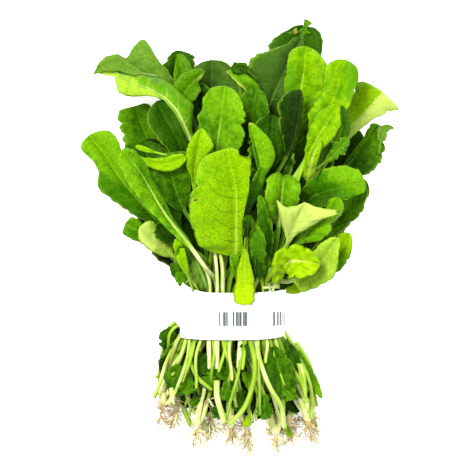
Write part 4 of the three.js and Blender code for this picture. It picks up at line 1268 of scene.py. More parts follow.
class Joined:
    """Several closed tubes gathered into one mesh, with their attributes."""

    def __init__(self):
        self.points, self.faces, self.leafy, self.dirt = [], [], [], []
        self.count = 0

    def add(self, rings, leafy, dirt):
        """leafy and dirt are one value for each ring."""
        rows, sides = rings.shape[:2]
        self.faces += tube_faces(rows, sides, self.count)
        self.points.append(rings.reshape(-1, 3))
        self.leafy.append(np.repeat(leafy, sides))
        self.dirt.append(np.repeat(dirt, sides))
        self.count += rows * sides

    def add_hair(self, line, thick, dirt):
        """A thin root with one dirt value all along it."""
        self.add(tube_points(line, thick, HAIR_SIDES), np.zeros(len(line)), np.full(len(line), dirt))

    def make(self, name):
        piece = add_piece(name, np.concatenate(self.points), self.faces, ROOT)
        set_attribute(piece, "leafy", np.concatenate(self.leafy))
        set_attribute(piece, "dirt", np.concatenate(self.dirt))
        return piece


def root_hair(start, ahead, length, rng):
    """A thin root that wanders and sinks towards the table."""
    line = [start]
    heading = ahead
    for _ in range(HAIR_STEPS):
        heading = unit(heading + rng.normal(0, HAIR_WANDER, 3) + HAIR_PULL)
        point = line[-1] + heading * length / HAIR_STEPS
        point[2] = max(point[2], LOWEST)
        line.append(point)
    return np.array(line)


def build_crown(node, rng):
    """A crown: the stems' pale sheaths run together into a knobbly root with thin side roots."""
    loft = Loft(node)
    radius = np.linalg.norm(loft.left - loft.right, axis=1) / 2
    s = np.linspace(0.0, loft.along[-1], CROWN_RINGS)
    share = s / s[-1]
    c = spline(s, loft.along, loft.centre)
    r = spline(s, loft.along, radius)
    wander = np.stack([Waves(rng, 12 * MM, 34 * MM, 3)(s) for _ in range(3)], axis=1) * 1.5 * MM
    c = c + wander * (1.0 - smooth(share * 1.3))[:, None]
    c[:, 2] = np.maximum(c[:, 2], r + LOWEST)
    r = r * (0.66 - 0.14 * smooth((share - 0.75) / 0.25)) * (1.0 + 0.1 * Waves(rng, 2 * MM, 9 * MM)(s))
    rings = tube_points(c, r, CROWN_SIDES)
    angle = np.linspace(0, 2 * math.pi, CROWN_SIDES, endpoint=False)
    knobs = Swells(rng, 2.5 * MM, 8 * MM)(angle[None, :] * 3 * MM, s[:, None]) * 0.1
    knobs = knobs + 0.1 * np.cos(5 * angle + rng.uniform(0, 6)) * smooth(share * 2 - 1)[:, None]
    rings = c[:, None, :] + (rings - c[:, None, :]) * (1.0 + knobs)[:, :, None]
    joined = Joined()
    stain = np.clip(0.35 + 0.4 * Waves(rng, 5 * MM, 16 * MM)(s), 0, 0.9)
    joined.add(rings, smooth((share - 0.72) / 0.25) * 0.85, stain * (1 - smooth((share - 0.5) / 0.4)))

    collar, heart = c[-1], c[int(len(c) * 0.66)]
    for foot, ahead in FEET:
        if np.linalg.norm(foot - collar) > SHEATH_REACH:
            continue
        between = foot * 0.55 + heart * 0.45 - ahead * MM
        line = resampled([foot + ahead * 9 * MM, foot + ahead * 2 * MM, between, heart], 1.0 * MM)
        along = np.linspace(0, 1, len(line))
        thick = spline(along, np.array((0.0, 0.25, 0.6, 1.0)), np.array((1.55, 1.95, 1.8, 1.0))) * MM
        joined.add(tube_points(line, thick, 10, 0.04), 1.0 - 0.7 * smooth((along - 0.45) / 0.5), along * 0.1)

    for _ in range(int(rng.integers(*HAIRS))):
        at = int(rng.uniform(0.02, 0.62) ** 0.8 * len(s))
        out = unit(rings[at, rng.integers(CROWN_SIDES)] - c[at])
        ahead = unit(out + np.array((0.0, -1.0, -0.2)) * rng.uniform(0.1, 1.2))
        length = rng.uniform(6, 26) * MM
        line = root_hair(c[at] + out * r[at] * 0.5, ahead, length, rng)
        thick = rng.uniform(0.2, 0.62) * MM * (1.0 - 0.8 * np.linspace(0, 1, len(line)))
        dark = rng.uniform(0.2, 0.8) if rng.uniform() < 0.22 else SOILED.get(node, 0.0)
        joined.add_hair(line, thick, dark)
    piece = joined.make("bunch_" + node)
    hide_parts(node)


for number, crown_node in enumerate(sorted(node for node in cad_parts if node.startswith("crown_"))):
    build_crown(crown_node, np.random.default_rng(CROWN_SEED + number))


# Tangles of loose roots between the crowns, as (across, along, height, half width, number of roots, dirt)
TANGLES = (
    (0, -78, 7, 11, 60, 0.1), (31, -82, 7, 7, 44, 0.15), (50, -75, 8, 5, 24, 0.6), (-42, -60, 18, 4, 60, 0.5),
    (-18, -62, 26, 3, 30, 0.7), (-24, -79, 6, 6, 30, 0.1),
)


def build_tangle(name, place, half_width, roots, dirt, rng):
    """Loose roots that lie across each other. place is their middle, in millimetres from the band."""
    joined = Joined()
    for _ in range(roots):
        offset = np.array((rng.uniform(-half_width, half_width), rng.normal(0, 2.0), rng.uniform(-4, 3)))
        start = from_band([np.array(place) + offset])[0]
        ahead = unit(np.array((rng.choice((-1.0, 1.0)) * rng.uniform(0.3, 1.2), rng.uniform(-1.1, 0.2), 0.0)))
        line = root_hair(start, ahead, rng.uniform(4, 12) * MM, rng)
        thick = rng.uniform(0.2, 0.55) * MM * (1.0 - 0.75 * np.linspace(0, 1, len(line)))
        stain = min(dirt * rng.uniform(0.2, 1.8), 1.0)
        joined.add_hair(line, thick, stain)
    joined.make(name)


for number, (across, along, height, half_width, roots, dirt) in enumerate(TANGLES):
    tangle_rng = np.random.default_rng(TANGLE_SEED + number)
    build_tangle(f"loose_roots_{number + 1}", (across, along, height), half_width, roots, dirt, tangle_rng)


# ---------------------------------------------------------------- the paper band

PAPER = 0.26 * MM
END_EDGES = 6  # a corner point at either end of the strip has fewer edges than this
END_REACH = 36 * MM  # the corners of one end are nearer to each other than this
LOOP_RADIUS = 36 * MM
BAND_RINGS = 330
BAND_COLUMNS = 22


def band_sections():
    """The strip's outer and inner edge points, from its outer end, as arrays of (near leaves, near roots)."""
    points, near = merged("paper_band")
    corners = [p for p in range(len(points)) if len(near[p]) < END_EDGES]
    start = corners[0]
    group = {p for p in corners if p != start and np.linalg.norm(points[p] - points[start]) < END_REACH}
    first = sorted(group, key=lambda p: np.linalg.norm(points[p, ::2] - points[start, ::2]))[:3]
    sections = [points[sorted(level)] for level in levels(near, [start, *first])]
    middle = points.mean(axis=0)
    sections = [section[np.argsort(-section[:, 1])] for section in sections]
    reach = [np.linalg.norm((section.mean(axis=0) - middle)[::2]) for section in sections]
    if np.mean(reach[:3]) < np.mean(reach[-3:]):
        sections.reverse()
    return np.array(sections), middle


def build_band(rng):
    """The paper strip, wound once with its ends overlapping, thin and slightly buckled."""
    sections, middle = band_sections()
    top, bottom = sections[:, :2].mean(axis=1), sections[:, 2:].mean(axis=1)
    knots = distances((top + bottom) / 2)
    s = np.linspace(0.0, knots[-1], BAND_RINGS)
    top, bottom = spline(s, knots, top), spline(s, knots, bottom)
    v = np.linspace(0.0, 1.0, BAND_COLUMNS)
    sheet = top[:, None, :] * (1 - v)[None, :, None] + bottom[:, None, :] * v[None, :, None]
    ahead = np.gradient(sheet, axis=0)
    outward = unit(np.stack([ahead[..., 2], np.zeros_like(ahead[..., 0]), -ahead[..., 0]], axis=-1))
    away = sheet - middle
    outward *= np.sign((outward[..., 0] * away[..., 0] + outward[..., 2] * away[..., 2]).mean())
    turned = np.arctan2(away[..., 2] * 1.7, away[..., 0])
    place = turned * LOOP_RADIUS
    buckle = 0.45 * MM * Swells(rng, 16 * MM, 60 * MM)(place, sheet[..., 1])
    rim = 0.4 * MM * Waves(rng, 9 * MM, 30 * MM)(place) * np.abs(2 * v - 1)[None, :] ** 3
    lift = 1.3 * MM * np.exp(-s / (5 * MM))[:, None] * (1.2 - v)[None, :]
    from_crease = sheet[..., 0] - sheet[..., 0].min() - 5 * MM
    crease = -0.5 * MM * np.exp(-((from_crease / (1.2 * MM)) ** 2)) * (away[..., 2] > 0)
    sheet = sheet + outward * (buckle * 0.5 + rim * 0.5 + lift + crease)[..., None]
    sheet[..., 2] = np.maximum(sheet[..., 2], PAPER)
    outer, inner = sheet + outward * PAPER / 2, sheet - outward * PAPER / 2
    points = np.concatenate([outer, inner[:, ::-1]], axis=1)
    half_way = BAND_COLUMNS // 2
    crossing = int(np.argmin(np.abs(sheet[:, half_way, 0] - BAND_MIDDLE[0]) + (away[:, half_way, 2] < 0)))
    direction = np.sign(sheet[min(crossing + 5, len(s) - 1), 0, 0] - sheet[crossing, 0, 0])
    along = np.broadcast_to(((s - s[crossing]) * direction)[:, None], sheet.shape[:2])
    across = sheet[..., 1] - BAND_MIDDLE[1]
    uv = np.stack([np.concatenate([q, q[:, ::-1]], axis=1) for q in (along, across)], axis=-1) / MM
    faces = tube_faces(len(s), 2 * BAND_COLUMNS)
    paper = paper_material("white_paper")
    piece = add_piece("bunch_paper_band", points.reshape(-1, 3), faces, paper, uv=uv.reshape(-1, 2))
    outside = np.concatenate([np.ones(BAND_COLUMNS), np.zeros(BAND_COLUMNS)])
    set_attribute(piece, "outside", np.broadcast_to(outside[None, :], (len(s), 2 * BAND_COLUMNS)))
    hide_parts("paper_band")


build_band(np.random.default_rng(BAND_SEED))


# ---------------------------------------------------------------- loose stems

STEM = stem_material("stem_skin")
STEM_SIDES = 12


def laid(plan, half_width, lift):
    """A plan in millimetres from the band, as a line: over the heap, or at its own heights if it has them."""
    line = from_band(plan)
    if line.shape[1] == 2:
        return settled(line, half_width, lift)
    return resampled(line, LINE_STEP)


def stem(name, plan, radius, tint=0.0, purple=0.0, end=0.85):
    """A loose stem, from the band outwards. end is how thick its end is, as a share of its start."""
    rng = np.random.default_rng(len(name) * 31 + sum(map(ord, name)))
    radius = radius * MM
    line = laid(plan, radius, radius * 0.85)
    along = distances(line)
    share = along / along[-1]
    radii = radius * (1.0 + (end - 1.0) * share) * (1.0 + 0.06 * Waves(rng, 12 * MM, 50 * MM)(along))
    line[:, 0] += 0.5 * MM * Waves(rng, 25 * MM, 80 * MM, 3)(along)
    radii[0] *= 0.9
    radii[-1] *= 0.8
    rings = tube_points(line, radii, STEM_SIDES, 0.07)
    around = np.linspace(-1, 1, STEM_SIDES) * radius / MM
    uv = np.stack(np.broadcast_arrays(around[None, :], along[:, None] / MM - rng.uniform(40, 400)), axis=-1)
    faces = tube_faces(len(line), STEM_SIDES)
    piece = add_piece("loose_" + name, rings.reshape(-1, 3), faces, STEM, uv=uv.reshape(-1, 2))
    set_attribute(piece, "tint", np.full((len(line), STEM_SIDES), tint))
    set_attribute(piece, "purple", np.repeat(purple * smooth(share * 2), STEM_SIDES))


# ---------------------------------------------------------------- loose leaves

ALL_SOLIDS = SOLIDS.without(None)
LEAF_LIFT = 1.2 * MM
MIDRIB_POINTS = 8


def loose_leaf(name, plan, width, blade, style, spacing=1.5, base=0.3):
    """A small leaf. plan is its midrib in millimetres from the band, and the other lengths are too."""
    rng = np.random.default_rng(len(name) * 17 + sum(map(ord, name)))
    midrib = laid(plan, 0.3 * width * MM, LEAF_LIFT)
    midrib = midrib[np.linspace(0, len(midrib) - 1, MIDRIB_POINTS).astype(int)]
    leaf = DrawnLeaf(midrib, width * MM, blade * MM, base)
    piece = build_leaf("loose_" + name, leaf, style, rng, ALL_SOLIDS, spacing * MM)


# The deep tone is near black: painted shade that fills the gaps.
# Dark leaves that close the gaps deep in the bunch, as (start and end of the midrib across and along)
DEEP = look("deep", ruffle=2.2, swell=2.2, wavy=2.0, vein=0.0, shade=0.3, petiole=0.0)
DEEP_LEAVES = (
    (-24, 30, -66, 96), (-18, 45, -38, 128), (-8, 60, -12, 140), (4, 60, 14, 150), (14, 60, 40, 150),
    (24, 50, 58, 142), (30, 40, 80, 118), (34, 28, 84, 84), (-14, 22, -28, 82), (0, 22, 2, 92),
    (14, 22, 30, 92), (24, 22, 56, 78), (-24, 20, -50, 66), (30, 18, 62, 50), (-10, 66, -34, 152),
    (20, 80, 48, 178), (38, 20, 76, 66), (-10, 10, -12, 62), (2, 10, 4, 66), (12, 10, 12, 62),
    (24, 10, 26, 64), (-20, 12, -28, 64), (-34, 84, -64, 122),
)
DEEP_WIDTH, DEEP_BLADE, DEEP_SPACING = 30, 62, 2.4
LOW_DEEP_WIDTH, LOW_DEEP_BLADE, LOW_DEEP_SPACING = 17, 44, 2.0

for number, (x0, y0, x1, y1) in enumerate(DEEP_LEAVES):
    height = 3.0 + number % 4 * 2.4
    midway = ((x0 + x1) / 2 + (number % 3 - 1) * 3, (y0 + y1) / 2, height + 2.0)
    midrib = [(x0, y0, height + 3.0), midway, (x1, y1, height)]
    loose_leaf(f"deep_leaf_{number + 1}", midrib, DEEP_WIDTH, DEEP_BLADE, DEEP, spacing=DEEP_SPACING)

# The same below the band
LOW_DEEP = (
    (-28, -14, -42, -56), (-18, -14, -32, -67), (-6, -14, -18, -70), (4, -14, -3, -72), (12, -14, 12, -73),
    (20, -14, 27, -75), (28, -14, 42, -73), (34, -10, 50, -62), (-34, -8, -46, -46),
    (-32, -4, -43, -34), (-32, -26, -45, -58), (38, -16, 54, -66), (-10, -30, -24, -73), (10, -30, 4, -74),
    (30, -30, 34, -76), (-14, -34, -11, -73), (18, -34, 20, -75), (36, -32, 48, -70), (-26, -34, -38, -65),
    (-8, -10, -10, -44), (2, -10, 3, -44), (16, -10, 18, -44), (27, -10, 33, -46), (-18, -10, -22, -44),
)
for number, (x0, y0, x1, y1) in enumerate(LOW_DEEP):
    height = 7.0 + number % 3 * 5.0
    midrib = [(x0, y0, height + 12.0), ((x0 + x1) / 2, (y0 + y1) / 2, height + 4.0), (x1, y1, height)]
    name = f"low_deep_leaf_{number + 1}"
    loose_leaf(name, midrib, LOW_DEEP_WIDTH, LOW_DEEP_BLADE, DEEP, spacing=LOW_DEEP_SPACING)

# Kinds of ragged leaf
RAGGED = {"wavy": 3.2, "ruffle": 2.4, "swell": 2.0, "teeth": 1.0, "vein": 0.2, "gloom": 0.2}
UPRIGHT = {**RAGGED, "gloom": 1.8, "rim": 1.2, "teeth": 0.3}
TORN = {"wavy": 8.0, "ruffle": 3.0, "swell": 2.6, "teeth": 2.4, "vein": 0.4, "gloom": 0.2, "crease": 0.9}

# Half widths of some thin ends
WING_TIP = [(0.0, 2), (0.3, 4.5), (0.55, 6.5), (0.75, 4.5), (0.9, 2)]
CURL = [(0.0, 2), (0.3, 3.6), (0.6, 3), (0.85, 1.4)]
FLAG_LEFT = [(0.0, 2.6), (0.35, 1.6), (0.7, 3.2), (0.9, 3.9), (0.97, 3.4)]
FLAG_RIGHT = [(0.0, 3.6), (0.35, 1.4), (0.7, 1.8), (0.9, 2.6), (0.97, 2.4)]
PETIOLE = [(0.0, 3.2), (0.4, 4.2), (0.75, 4), (0.93, 2.4)]
SHARD_BASE = 0.55

# Loose leaves and leaf ends that are seen among the grown ones, as name: (midrib, width, blade, look)
SHARDS = {
    "rim_left": ([(-27, 14, 20), (-35, 25, 28), (-42, 36, 32)], 8, 26,
                 look("mid", shade=0.6, wavy=2.0, vein=0.1, rim=0.6)),
    "rim_left_low": ([(-22, 12, 24), (-30, 20, 34), (-38, 30, 38)], 9, 20, look("mid", shade=0.3, **RAGGED)),
    "ribbed": ([(-14, 10, 34), (-20, 28, 46), (-28, 45, 53)], 15, 36,
               look("sage", shade=0.5, vein=1.3, wavy=2.0, crease=0.9, rim=0.6, sides=(-0.3, 0.5))),
    "pale_sliver": ([(-22, 14), (-28, 28), (-30, 40)], 5, 26, look("bright", under=True, wavy=1.4, vein=0.2)),
    "lime_strip": ([(-27, 18, 44), (-33, 36, 61), (-38, 54, 64)], 8, 28,
                   look("lime", shade=0.3, wavy=1.8, vein=0.1, gloom=0.6, crease=0.7)),
    "dark_cup": ([(-36, 44), (-44, 54), (-51, 64)], 13, 17,
                 look("dark", shade=0.2, vee=(30, 30), rim=1.4, **RAGGED)),
    "small_wedge": ([(7, 14), (4, 30), (0, 43)], 8, 22, look("bright", shade=0.5, vein=0.3)),
    "upright_2": ([(17, 10), (15, 32), (13, 56)], 6, 40, look("dark", shade=0.4, vee=(35, 8), **UPRIGHT)),
    "upright_3": ([(27, 26), (25, 52), (20, 84)], 8, 52, look("mid", shade=0.8, vee=(6, 38), **UPRIGHT)),
    "upright_1": ([(23, 12), (20, 40), (14.5, 65)], 12, 46, look("mid", shade=0.4, vee=(4, 36), **UPRIGHT)),
    "upright_4": ([(28, 12), (26, 26), (25, 42)], 6, 24, look("mid", shade=0.5, vee=(30, 10), **UPRIGHT)),
    "over_stalk": ([(10.5, 50, 66), (11.5, 59, 67), (12, 70, 67)], 8, 19,
                   look("dark", shade=0.9, vee=(20, 30), **UPRIGHT)),
    "crumple_shadow": ([(29, 13, 30), (36, 24, 33), (45, 33, 31)], 15, 28, look("dark", shade=0.9, **RAGGED)),
    "right_behind": ([(56, 44, 15), (77, 68, 17), (93, 93, 14)], 21, 54,
                     look("mid", shade=0.6, wavy=2.0, teeth=0.5, rim=0.6)),
    "lobed_base": ([(26, 19), (39, 19.5), (54, 22.5)], 13, 28,
                   look("yellow", shade=0.7, wavy=1.2, vein=0.2, gloom=-0.2, rim=0.5)),
    "folded_lip": ([(-66, 112), (-56, 106), (-44, 104.5), (-31, 110)], 11, 34,
                   look("lime", shade=0.1, vein=0.0, gloom=0.2, wavy=1.2, vee=(20, 24))),
    "left_rim": ([(-48, 112), (-56, 114), (-66, 118)], 4, 14, look("lime", shade=0.2, vein=0.0)),
    "wing_tip": ([(-55, 168), (-68, 171), (-81, 177), (-90, 173.5), (-96, 168)], 12, 44,
                 look("sage", shade=-0.3, vein=0.2, rim=0.8, left=WING_TIP, right=WING_TIP)),
    "curled_rim": ([(58, 58), (69, 69), (76, 82)], 13, 22,
                   look("bright", shade=0.2, arch=2.5, wavy=1.6, vein=0.2, rim=1.2)),
    "right_narrow": ([(60, 98), (70, 114), (79, 130), (77, 146)], 7, 46,
                     look("dark", shade=0.1, vee=(26, 6), vein=0.1, rim=0.5)),
    "right_tip": ([(105, 117), (106.5, 124), (107, 129), (110, 132), (116, 132)], 7, 20,
                  look("sage", shade=-0.4, vein=0.0, rim=0.8, left=CURL, right=CURL)),
    "right_ragged": ([(62, 104), (72, 112), (82, 123)], 9, 26, look("mid", shade=0.1, rim=0.6, **TORN)),
    "stalked_fold": ([(52.5, 88, 38), (54.5, 100, 50), (57.2, 112, 58), (61.5, 123, 61)], 9, 34,
                     look("lime", shade=-0.4, vein=2.0, wavy=0.8, vee=(20, -12), sides=(0.1, -0.1),
                          left=PETIOLE, right=PETIOLE)),
    "crumple_left": ([(28.4, 14, 39), (33, 31, 58), (34, 46, 66)], 11, 30,
                     look("yellow", shade=0.8, wavy=2.0, crease=1.6, vee=(25, -10), rim=0.6,
                          sides=(0.0, 0.8))),
    "crest_lobe": ([(57, 168, 9), (58, 186, 10), (54.5, 204, 11)], 17, 30,
                   look("dark", shade=-0.1, vein=0.1, wavy=1.2, rim=0.6)),
    "crest_tip": ([(51, 197, 12), (53, 203, 13), (56, 208, 13)], 8, 13,
                  look("mid", shade=0.2, vein=0.0, rim=0.8, wavy=0.2, ruffle=0.5,
                       left=FLAG_LEFT, right=FLAG_RIGHT)),
    "right_filler": ([(36, 80, 9), (50, 118, 11), (62, 152, 11)], 24, 60, look("mid", shade=0.8, vein=0.2)),
    "rear_rim": ([(16, 168), (8, 174), (0, 172)], 9, 14, look("dark", shade=0.2, **RAGGED)),
}

# Torn bits among the stems, as (name, tone, shade, width, blade, midrib, and how it differs if not TORN)
BITS = (
    ("left_dark", "dark", 0.1, 12, 24, [(-34, -6, 22), (-42, -12, 26), (-44, -24, 20)]),
    ("left_green", "mid", 0.1, 15, 26, [(-32, -32, 24), (-39, -42, 24), (-47, -55, 16)]),
    ("left_green_2", "mid", 0.5, 12, 22, [(-28, -38, 26), (-34, -46, 26), (-36, -58, 18)]),
    ("left_edge", "mid", 0.4, 9, 20, [(-36, -14, 26), (-43, -26, 24), (-45, -38, 16)]),
    ("left_middle", "dark", 0.0, 10, 22, [(-18, -16, 32), (-24, -26, 34), (-24, -38, 30)]),
    ("centre_dark", "dark", 0.2, 10, 26, [(-2, -14, 33), (-3, -28, 35), (2, -42, 32)]),
    ("centre_low", "mid", 0.4, 11, 16, [(-14, -54, 24), (-20, -60, 24), (-25, -68, 18)]),
    ("top_left", "mid", 0.2, 10, 18, [(-30, -36), (-30, -46), (-33, -56)]),
    ("top_middle", "mid", 0.4, 9, 15, [(-1, -43), (-3, -52), (-6, -60)]),
    ("top_centre", "dark", 0.0, 8, 19, [(9, -15), (9, -27), (6, -37)]),
    ("top_right", "mid", 0.3, 9, 14, [(36, -45), (39, -53), (45, -58)]),
    ("top_low", "dark", 0.0, 8, 11, [(-14, -63), (-10, -69), (-5, -72)]),
    ("right_leafy", "mid", 0.5, 12, 18, [(22, -44, 26), (30, -52, 24), (37, -56, 20)]),
    ("left_inner", "mid", 0.6, 11, 22, [(-26, -14, 30), (-31, -24, 30), (-30, -36, 26)]),
    ("middle_dark", "dark", 0.1, 13, 30, [(-8, -24, 32), (-18, -34, 36), (-30, -46, 32)]),
    ("middle_green", "mid", 0.2, 12, 20, [(-6, -36, 34), (-13, -44, 36), (-21, -50, 32)]),
    ("middle_dark_2", "dark", 0.1, 9, 30, [(8, -18, 34), (4, -32, 34), (-2, -48, 30)]),
    ("small_dark", "mid", 0.6, 9, 18, [(6, -48, 28), (7, -57, 28), (3, -68, 24)]),
    ("small_curl", "bright", 0.1, 7, 13, [(13, -56), (12, -47), (9, -40)], {"ruffle": 3.4, "wavy": 3.0}),
    ("yellow_bit", "yellow", 0.1, 5, 10, [(1, -12), (-1, -19), (-4, -26)], {"wavy": 2.0, "vein": 0.0}),
    ("right_green", "mid", 0.4, 10, 20, [(21, -50), (24, -62), (24, -74)]),
    ("yellow_low", "yellow", 0.3, 5, 9, [(13, -69), (12, -75), (9, -80)], {"wavy": 2.0, "vein": 0.0}),
    ("green_low", "lime", 0.3, 4, 9, [(38, -76), (40, -82), (42, -87)], {"wavy": 2.0, "vein": 0.0}),
    ("right_edge", "bright", 0.4, 6, 40, [(36, -8, 28), (46, -26, 26), (56, -42, 22), (65, -60, 18)],
     {"wavy": 1.6, "vein": 0, "tint": -0.9}),
    ("right_inner", "dark", 0.1, 9, 30, [(33, -12, 30), (42, -26, 30), (47, -42, 26)]),
)

for name, (midrib, width, blade, style) in SHARDS.items():
    loose_leaf("leaf_" + name, midrib, width, blade, style, base=SHARD_BASE)

for name, tone, shade, width, blade, midrib, *other in BITS:
    style = look(tone, shade=shade, **(other[0] if other else TORN))
    loose_leaf("leaf_" + name, midrib, width, blade, style, base=SHARD_BASE)

# Stems that are seen, as (name, radius, tint, line in millimetres from the band, and any other options)
STEMS = (
    ("left_outer", 1.4, -0.7,
     [(-31, -6, 20), (-39, -6, 26), (-46, -12, 24), (-49, -28, 17), (-51, -54, 9)]),
    ("left_loop", 1.3, -0.3,
     [(-33, -10, 24), (-38, -8.5, 29), (-43, -13, 28), (-45, -26, 21), (-50, -52, 12)]),
    ("left_purple", 1.6, 0.3, [(-29, -8, 26), (-36, -17, 31), (-43, -33, 26), (-54, -60, 12)],
     {"purple": 0.9}),
    ("left_third", 1.6, 0.1, [(-29, -12), (-34, -26), (-42, -43)]),
    ("left_bent", 1.6, -0.2, [(-21, -12), (-26, -20), (-29, -33), (-25, -42), (-13, -53)]),
    ("white_left", 1.8, 1.2, [(-14.5, -12), (-15, -22), (-15, -38)]),
    ("white_middle", 2.3, 1.5, [(-10, -12), (-9.5, -22), (-10, -38)]),
    ("white_right", 1.9, 1.3, [(5.5, -12), (6.5, -22), (5.5, -38)]),
    ("lime_middle", 1.3, -0.2, [(-7, -12), (-4, -25), (3, -43), (4, -54)]),
    ("thin_middle", 1.3, -0.6, [(9, -14), (7, -32), (2, -52), (-4, -76)]),
    ("cut_short", 2.2, 0.5, [(-9.5, -46), (-8.5, -60), (-5, -76)], {"end": 0.95}),
    ("thick_middle", 1.9, -0.1, [(13, -12), (16, -30), (15, -50), (9, -66), (-1, -77)]),
    ("thick_right", 1.9, 0.5, [(17, -12), (21, -33), (28, -52), (36, -68), (38, -80)]),
    ("inner_right", 1.5, 0.1, [(26, -12, 30), (24, -36, 29), (21, -58, 22), (15, -74, 12), (9, -79, 8)]),
    ("right_green", 1.7, -0.7, [(30, -12), (39, -30), (50, -50)]),
    ("right_lime", 1.6, -0.3, [(35, -12), (47, -30), (56, -52), (57, -74)]),
    ("right_short", 1.5, 0.0, [(46, -20, 18), (56, -36, 17), (59, -54, 13), (57, -74, 8)]),
    ("right_pale", 1.3, 0.5, [(54, -44, 20), (54, -54, 20), (49, -63, 18), (43, -71, 14)]),
    ("right_second", 1.4, 0.1, [(34, -14), (44, -27), (51, -44), (53, -62)]),
    ("left_cut", 1.7, -0.1, [(-38, -34, 14), (-37, -54, 13), (-34, -66, 10), (-29, -80, 5)], {"end": 1.0}),
    ("left_pale_base", 1.7, 0.5, [(-36, -30, 18), (-33, -50, 17), (-27, -66, 13), (-17, -83, 6)],
     {"end": 1.3}),
    ("left_inner", 1.5, 0.0, [(-30, -16, 30), (-27, -36, 28), (-23, -54, 22), (-18, -72, 12)]),
    ("left_second", 1.4, 0.3, [(-40, -20), (-47, -38), (-54, -59)]),
    ("upper_left", 1.3, 0.7, [(-14, 11), (-16, 25), (-20, 38)]),
    ("upper_middle", 1.4, 0.9,
     [(-10, 11, 40), (-10, 20, 43.5), (-10.3, 32, 48), (-11.5, 44, 48), (-13, 56, 46)]),
    ("upper_right", 1.5, 0.7,
     [(-5, 11, 40), (-5.5, 20, 43.8), (-6.5, 32, 49), (-8, 44, 49.5), (-9.5, 56, 47)]),
)

for name, radius, tint, plan, *other in STEMS:
    stem("stem_" + name, plan, radius, tint, **(other[0] if other else {}))


def fan_line(x0, x1, bend, y1):
    """A line from under the band to (x1, y1), by a point part of the way that is moved across by bend."""
    return (x0, -11), (x0 * 0.6 + x1 * 0.4 + bend, y1 * 0.5), (x1, y1)


# Thinner stems fan out among them, as (start, end and bend across, end along, height, radius, tint)
THIN_STEMS = (
    (-32, -53, 3, -46, 22, 1.2, -0.8), (-27, -40, -2, -52, 28, 1.3, -0.4), (-23, -33, 3, -66, 27, 1.2, 0.2),
    (-18, -20, -4, -62, 31, 1.3, -0.6), (-13, -22, 2, -58, 33, 1.1, -0.9), (-3, -10, 4, -66, 33, 1.3, 0.3),
    (1, 6, -3, -64, 34, 1.2, -0.5), (9, 14, 3, -62, 34, 1.3, 0.1), (15, 12, 4, -70, 33, 1.1, -0.7),
    (22, 31, 4, -64, 31, 1.3, -0.2), (27, 44, 3, -66, 28, 1.4, 0.3), (31, 47, 5, -58, 26, 1.2, -0.8),
    (33, 55, 4, -48, 24, 1.3, -0.5), (36, 61, 6, -66, 22, 1.2, -0.1), (-29, -46, -3, -66, 20, 1.1, -0.2),
    (-21, -30, 3, -74, 24, 1.2, -0.5), (-9, -17, 3, -74, 27, 1.2, -0.1), (3, 1, -4, -74, 30, 1.1, -0.8),
    (12, 18, 4, -76, 30, 1.2, 0.4), (19, 27, -3, -76, 27, 1.2, -0.4), (25, 33, 3, -74, 27, 1.1, 0.1),
    (30, 46, 4, -72, 24, 1.2, -0.6),
)
# Others lie on top of what is below them, as (start, end and bend across, end along, radius, tint)
TOP_STEMS = (
    (-25, -34, 2, -47, 1.3, -0.1), (-19, -25, -2, -52, 1.2, 0.4), (-12.5, -14, 1, -45, 1.1, -0.6),
    (-4, -9, 2, -40, 1.2, -0.2), (0.5, 0, -1, -46, 1.4, 0.6), (10, 8, 1, -38, 1.3, -0.3),
    (20, 25, 2, -34, 1.4, 0.2), (24, 31, -1, -30, 1.3, -0.5), (29, 40, 3, -44, 1.2, 0.2),
    (18, 20, 1, -70, 1.1, -0.6), (-28, -40, 3, -56, 1.2, 0.3), (34, 52, 4, -58, 1.1, -0.1),
)
THIN_STEM_DROP = 0.45  # how high their ends are, as a share of their height at the band

for number, (x0, x1, bend, y1, radius, tint) in enumerate(TOP_STEMS):
    stem(f"top_stem_{number + 1}", fan_line(x0, x1, bend, y1), radius, tint)

for number, (x0, x1, bend, y1, height, radius, tint) in enumerate(THIN_STEMS):
    start, midway, end = fan_line(x0, x1, bend, y1)
    plan = [(*start, height), (*midway, height), (*end, height * THIN_STEM_DROP)]
    stem(f"thin_stem_{number + 1}", plan, radius, tint)


# ---------------------------------------------------------------- floor, light and camera


FLOOR_WIDTH = 6.0
LAMPS_FACE = (0.0, 0.03, 0.04)


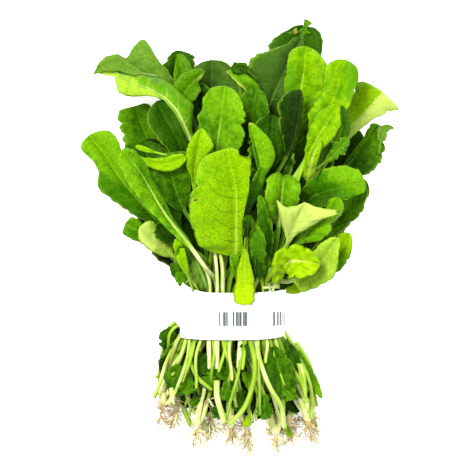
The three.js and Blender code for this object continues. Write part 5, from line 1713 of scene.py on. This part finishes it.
def floor_material():
    """White, with a little light of its own, like an over-exposed ground."""
    n = Nodes("pale_floor")
    where = n.add("ShaderNodeTexCoord").outputs["Object"]
    colour = n.mix(n.ramp(n.noise(where, 6.0), 0.3, 0.7), rgb(250, 250, 250, 1.0), rgb(253, 253, 253, 1.0))
    names = {"Base Color": colour, "Roughness": 0.9, "Specular IOR Level": 0.1}
    names.update({"Emission Color": (1.0, 1.0, 1.0, 1.0), "Emission Strength": 0.5})
    return n.finish(n.add("ShaderNodeBsdfPrincipled", names).outputs["BSDF"])


def add_floor():
    """A pale square that everything lies on."""
    half = FLOOR_WIDTH / 2
    mesh = bpy.data.meshes.new("floor")
    corners = [(-half, -half, 0), (half, -half, 0), (half, half, 0), (-half, half, 0)]
    mesh.from_pydata(corners, [], [(0, 1, 2, 3)])
    floor = bpy.data.objects.new("floor", mesh)
    bpy.context.scene.collection.objects.link(floor)
    mesh.materials.append(floor_material())


def add_area(name, place, size, power, colour=(1.0, 1.0, 1.0)):
    """A square lamp that faces the bunch."""
    lamp = bpy.data.lights.new(name, "AREA")
    lamp.size = size
    lamp.energy = power
    lamp.color = colour
    holder = bpy.data.objects.new(name, lamp)
    bpy.context.scene.collection.objects.link(holder)
    holder.location = place
    away = np.array(place) - np.array(LAMPS_FACE)
    turn = math.atan2(away[0], -away[1])
    tilt = math.atan2(math.hypot(away[0], away[1]), away[2])
    holder.rotation_euler = (tilt, 0.0, turn)


WORLD_STRENGTH = 1.06
CAMERA_HEIGHT = 2.3
CAMERA_PLACE = (0.0, 0.0016)
PICTURE_WIDTH = 0.332  # what the picture spans at the height of the leaves
LEAF_HEIGHT = 0.045

add_floor()
add_area("key", (-0.5, 0.6, 1.6), 0.5, 80.0, (1.0, 0.99, 0.95))
add_area("fill", (0.9, -0.5, 1.6), 1.2, 27.0)
world = bpy.data.worlds.new("studio")
world.use_nodes = True
world.node_tree.nodes["Background"].inputs["Color"].default_value = (1.0, 1.0, 1.0, 1.0)
world.node_tree.nodes["Background"].inputs["Strength"].default_value = WORLD_STRENGTH
bpy.context.scene.world = world
bpy.context.scene.view_settings.view_transform = "Standard"

camera_data = bpy.data.cameras.new("camera")
camera_data.lens = camera_data.sensor_width * (CAMERA_HEIGHT - LEAF_HEIGHT) / PICTURE_WIDTH
camera_data.clip_end = 50.0
camera = bpy.data.objects.new("camera", camera_data)
bpy.context.scene.collection.objects.link(camera)
camera.location = (*CAMERA_PLACE, CAMERA_HEIGHT)
bpy.context.scene.camera = camera
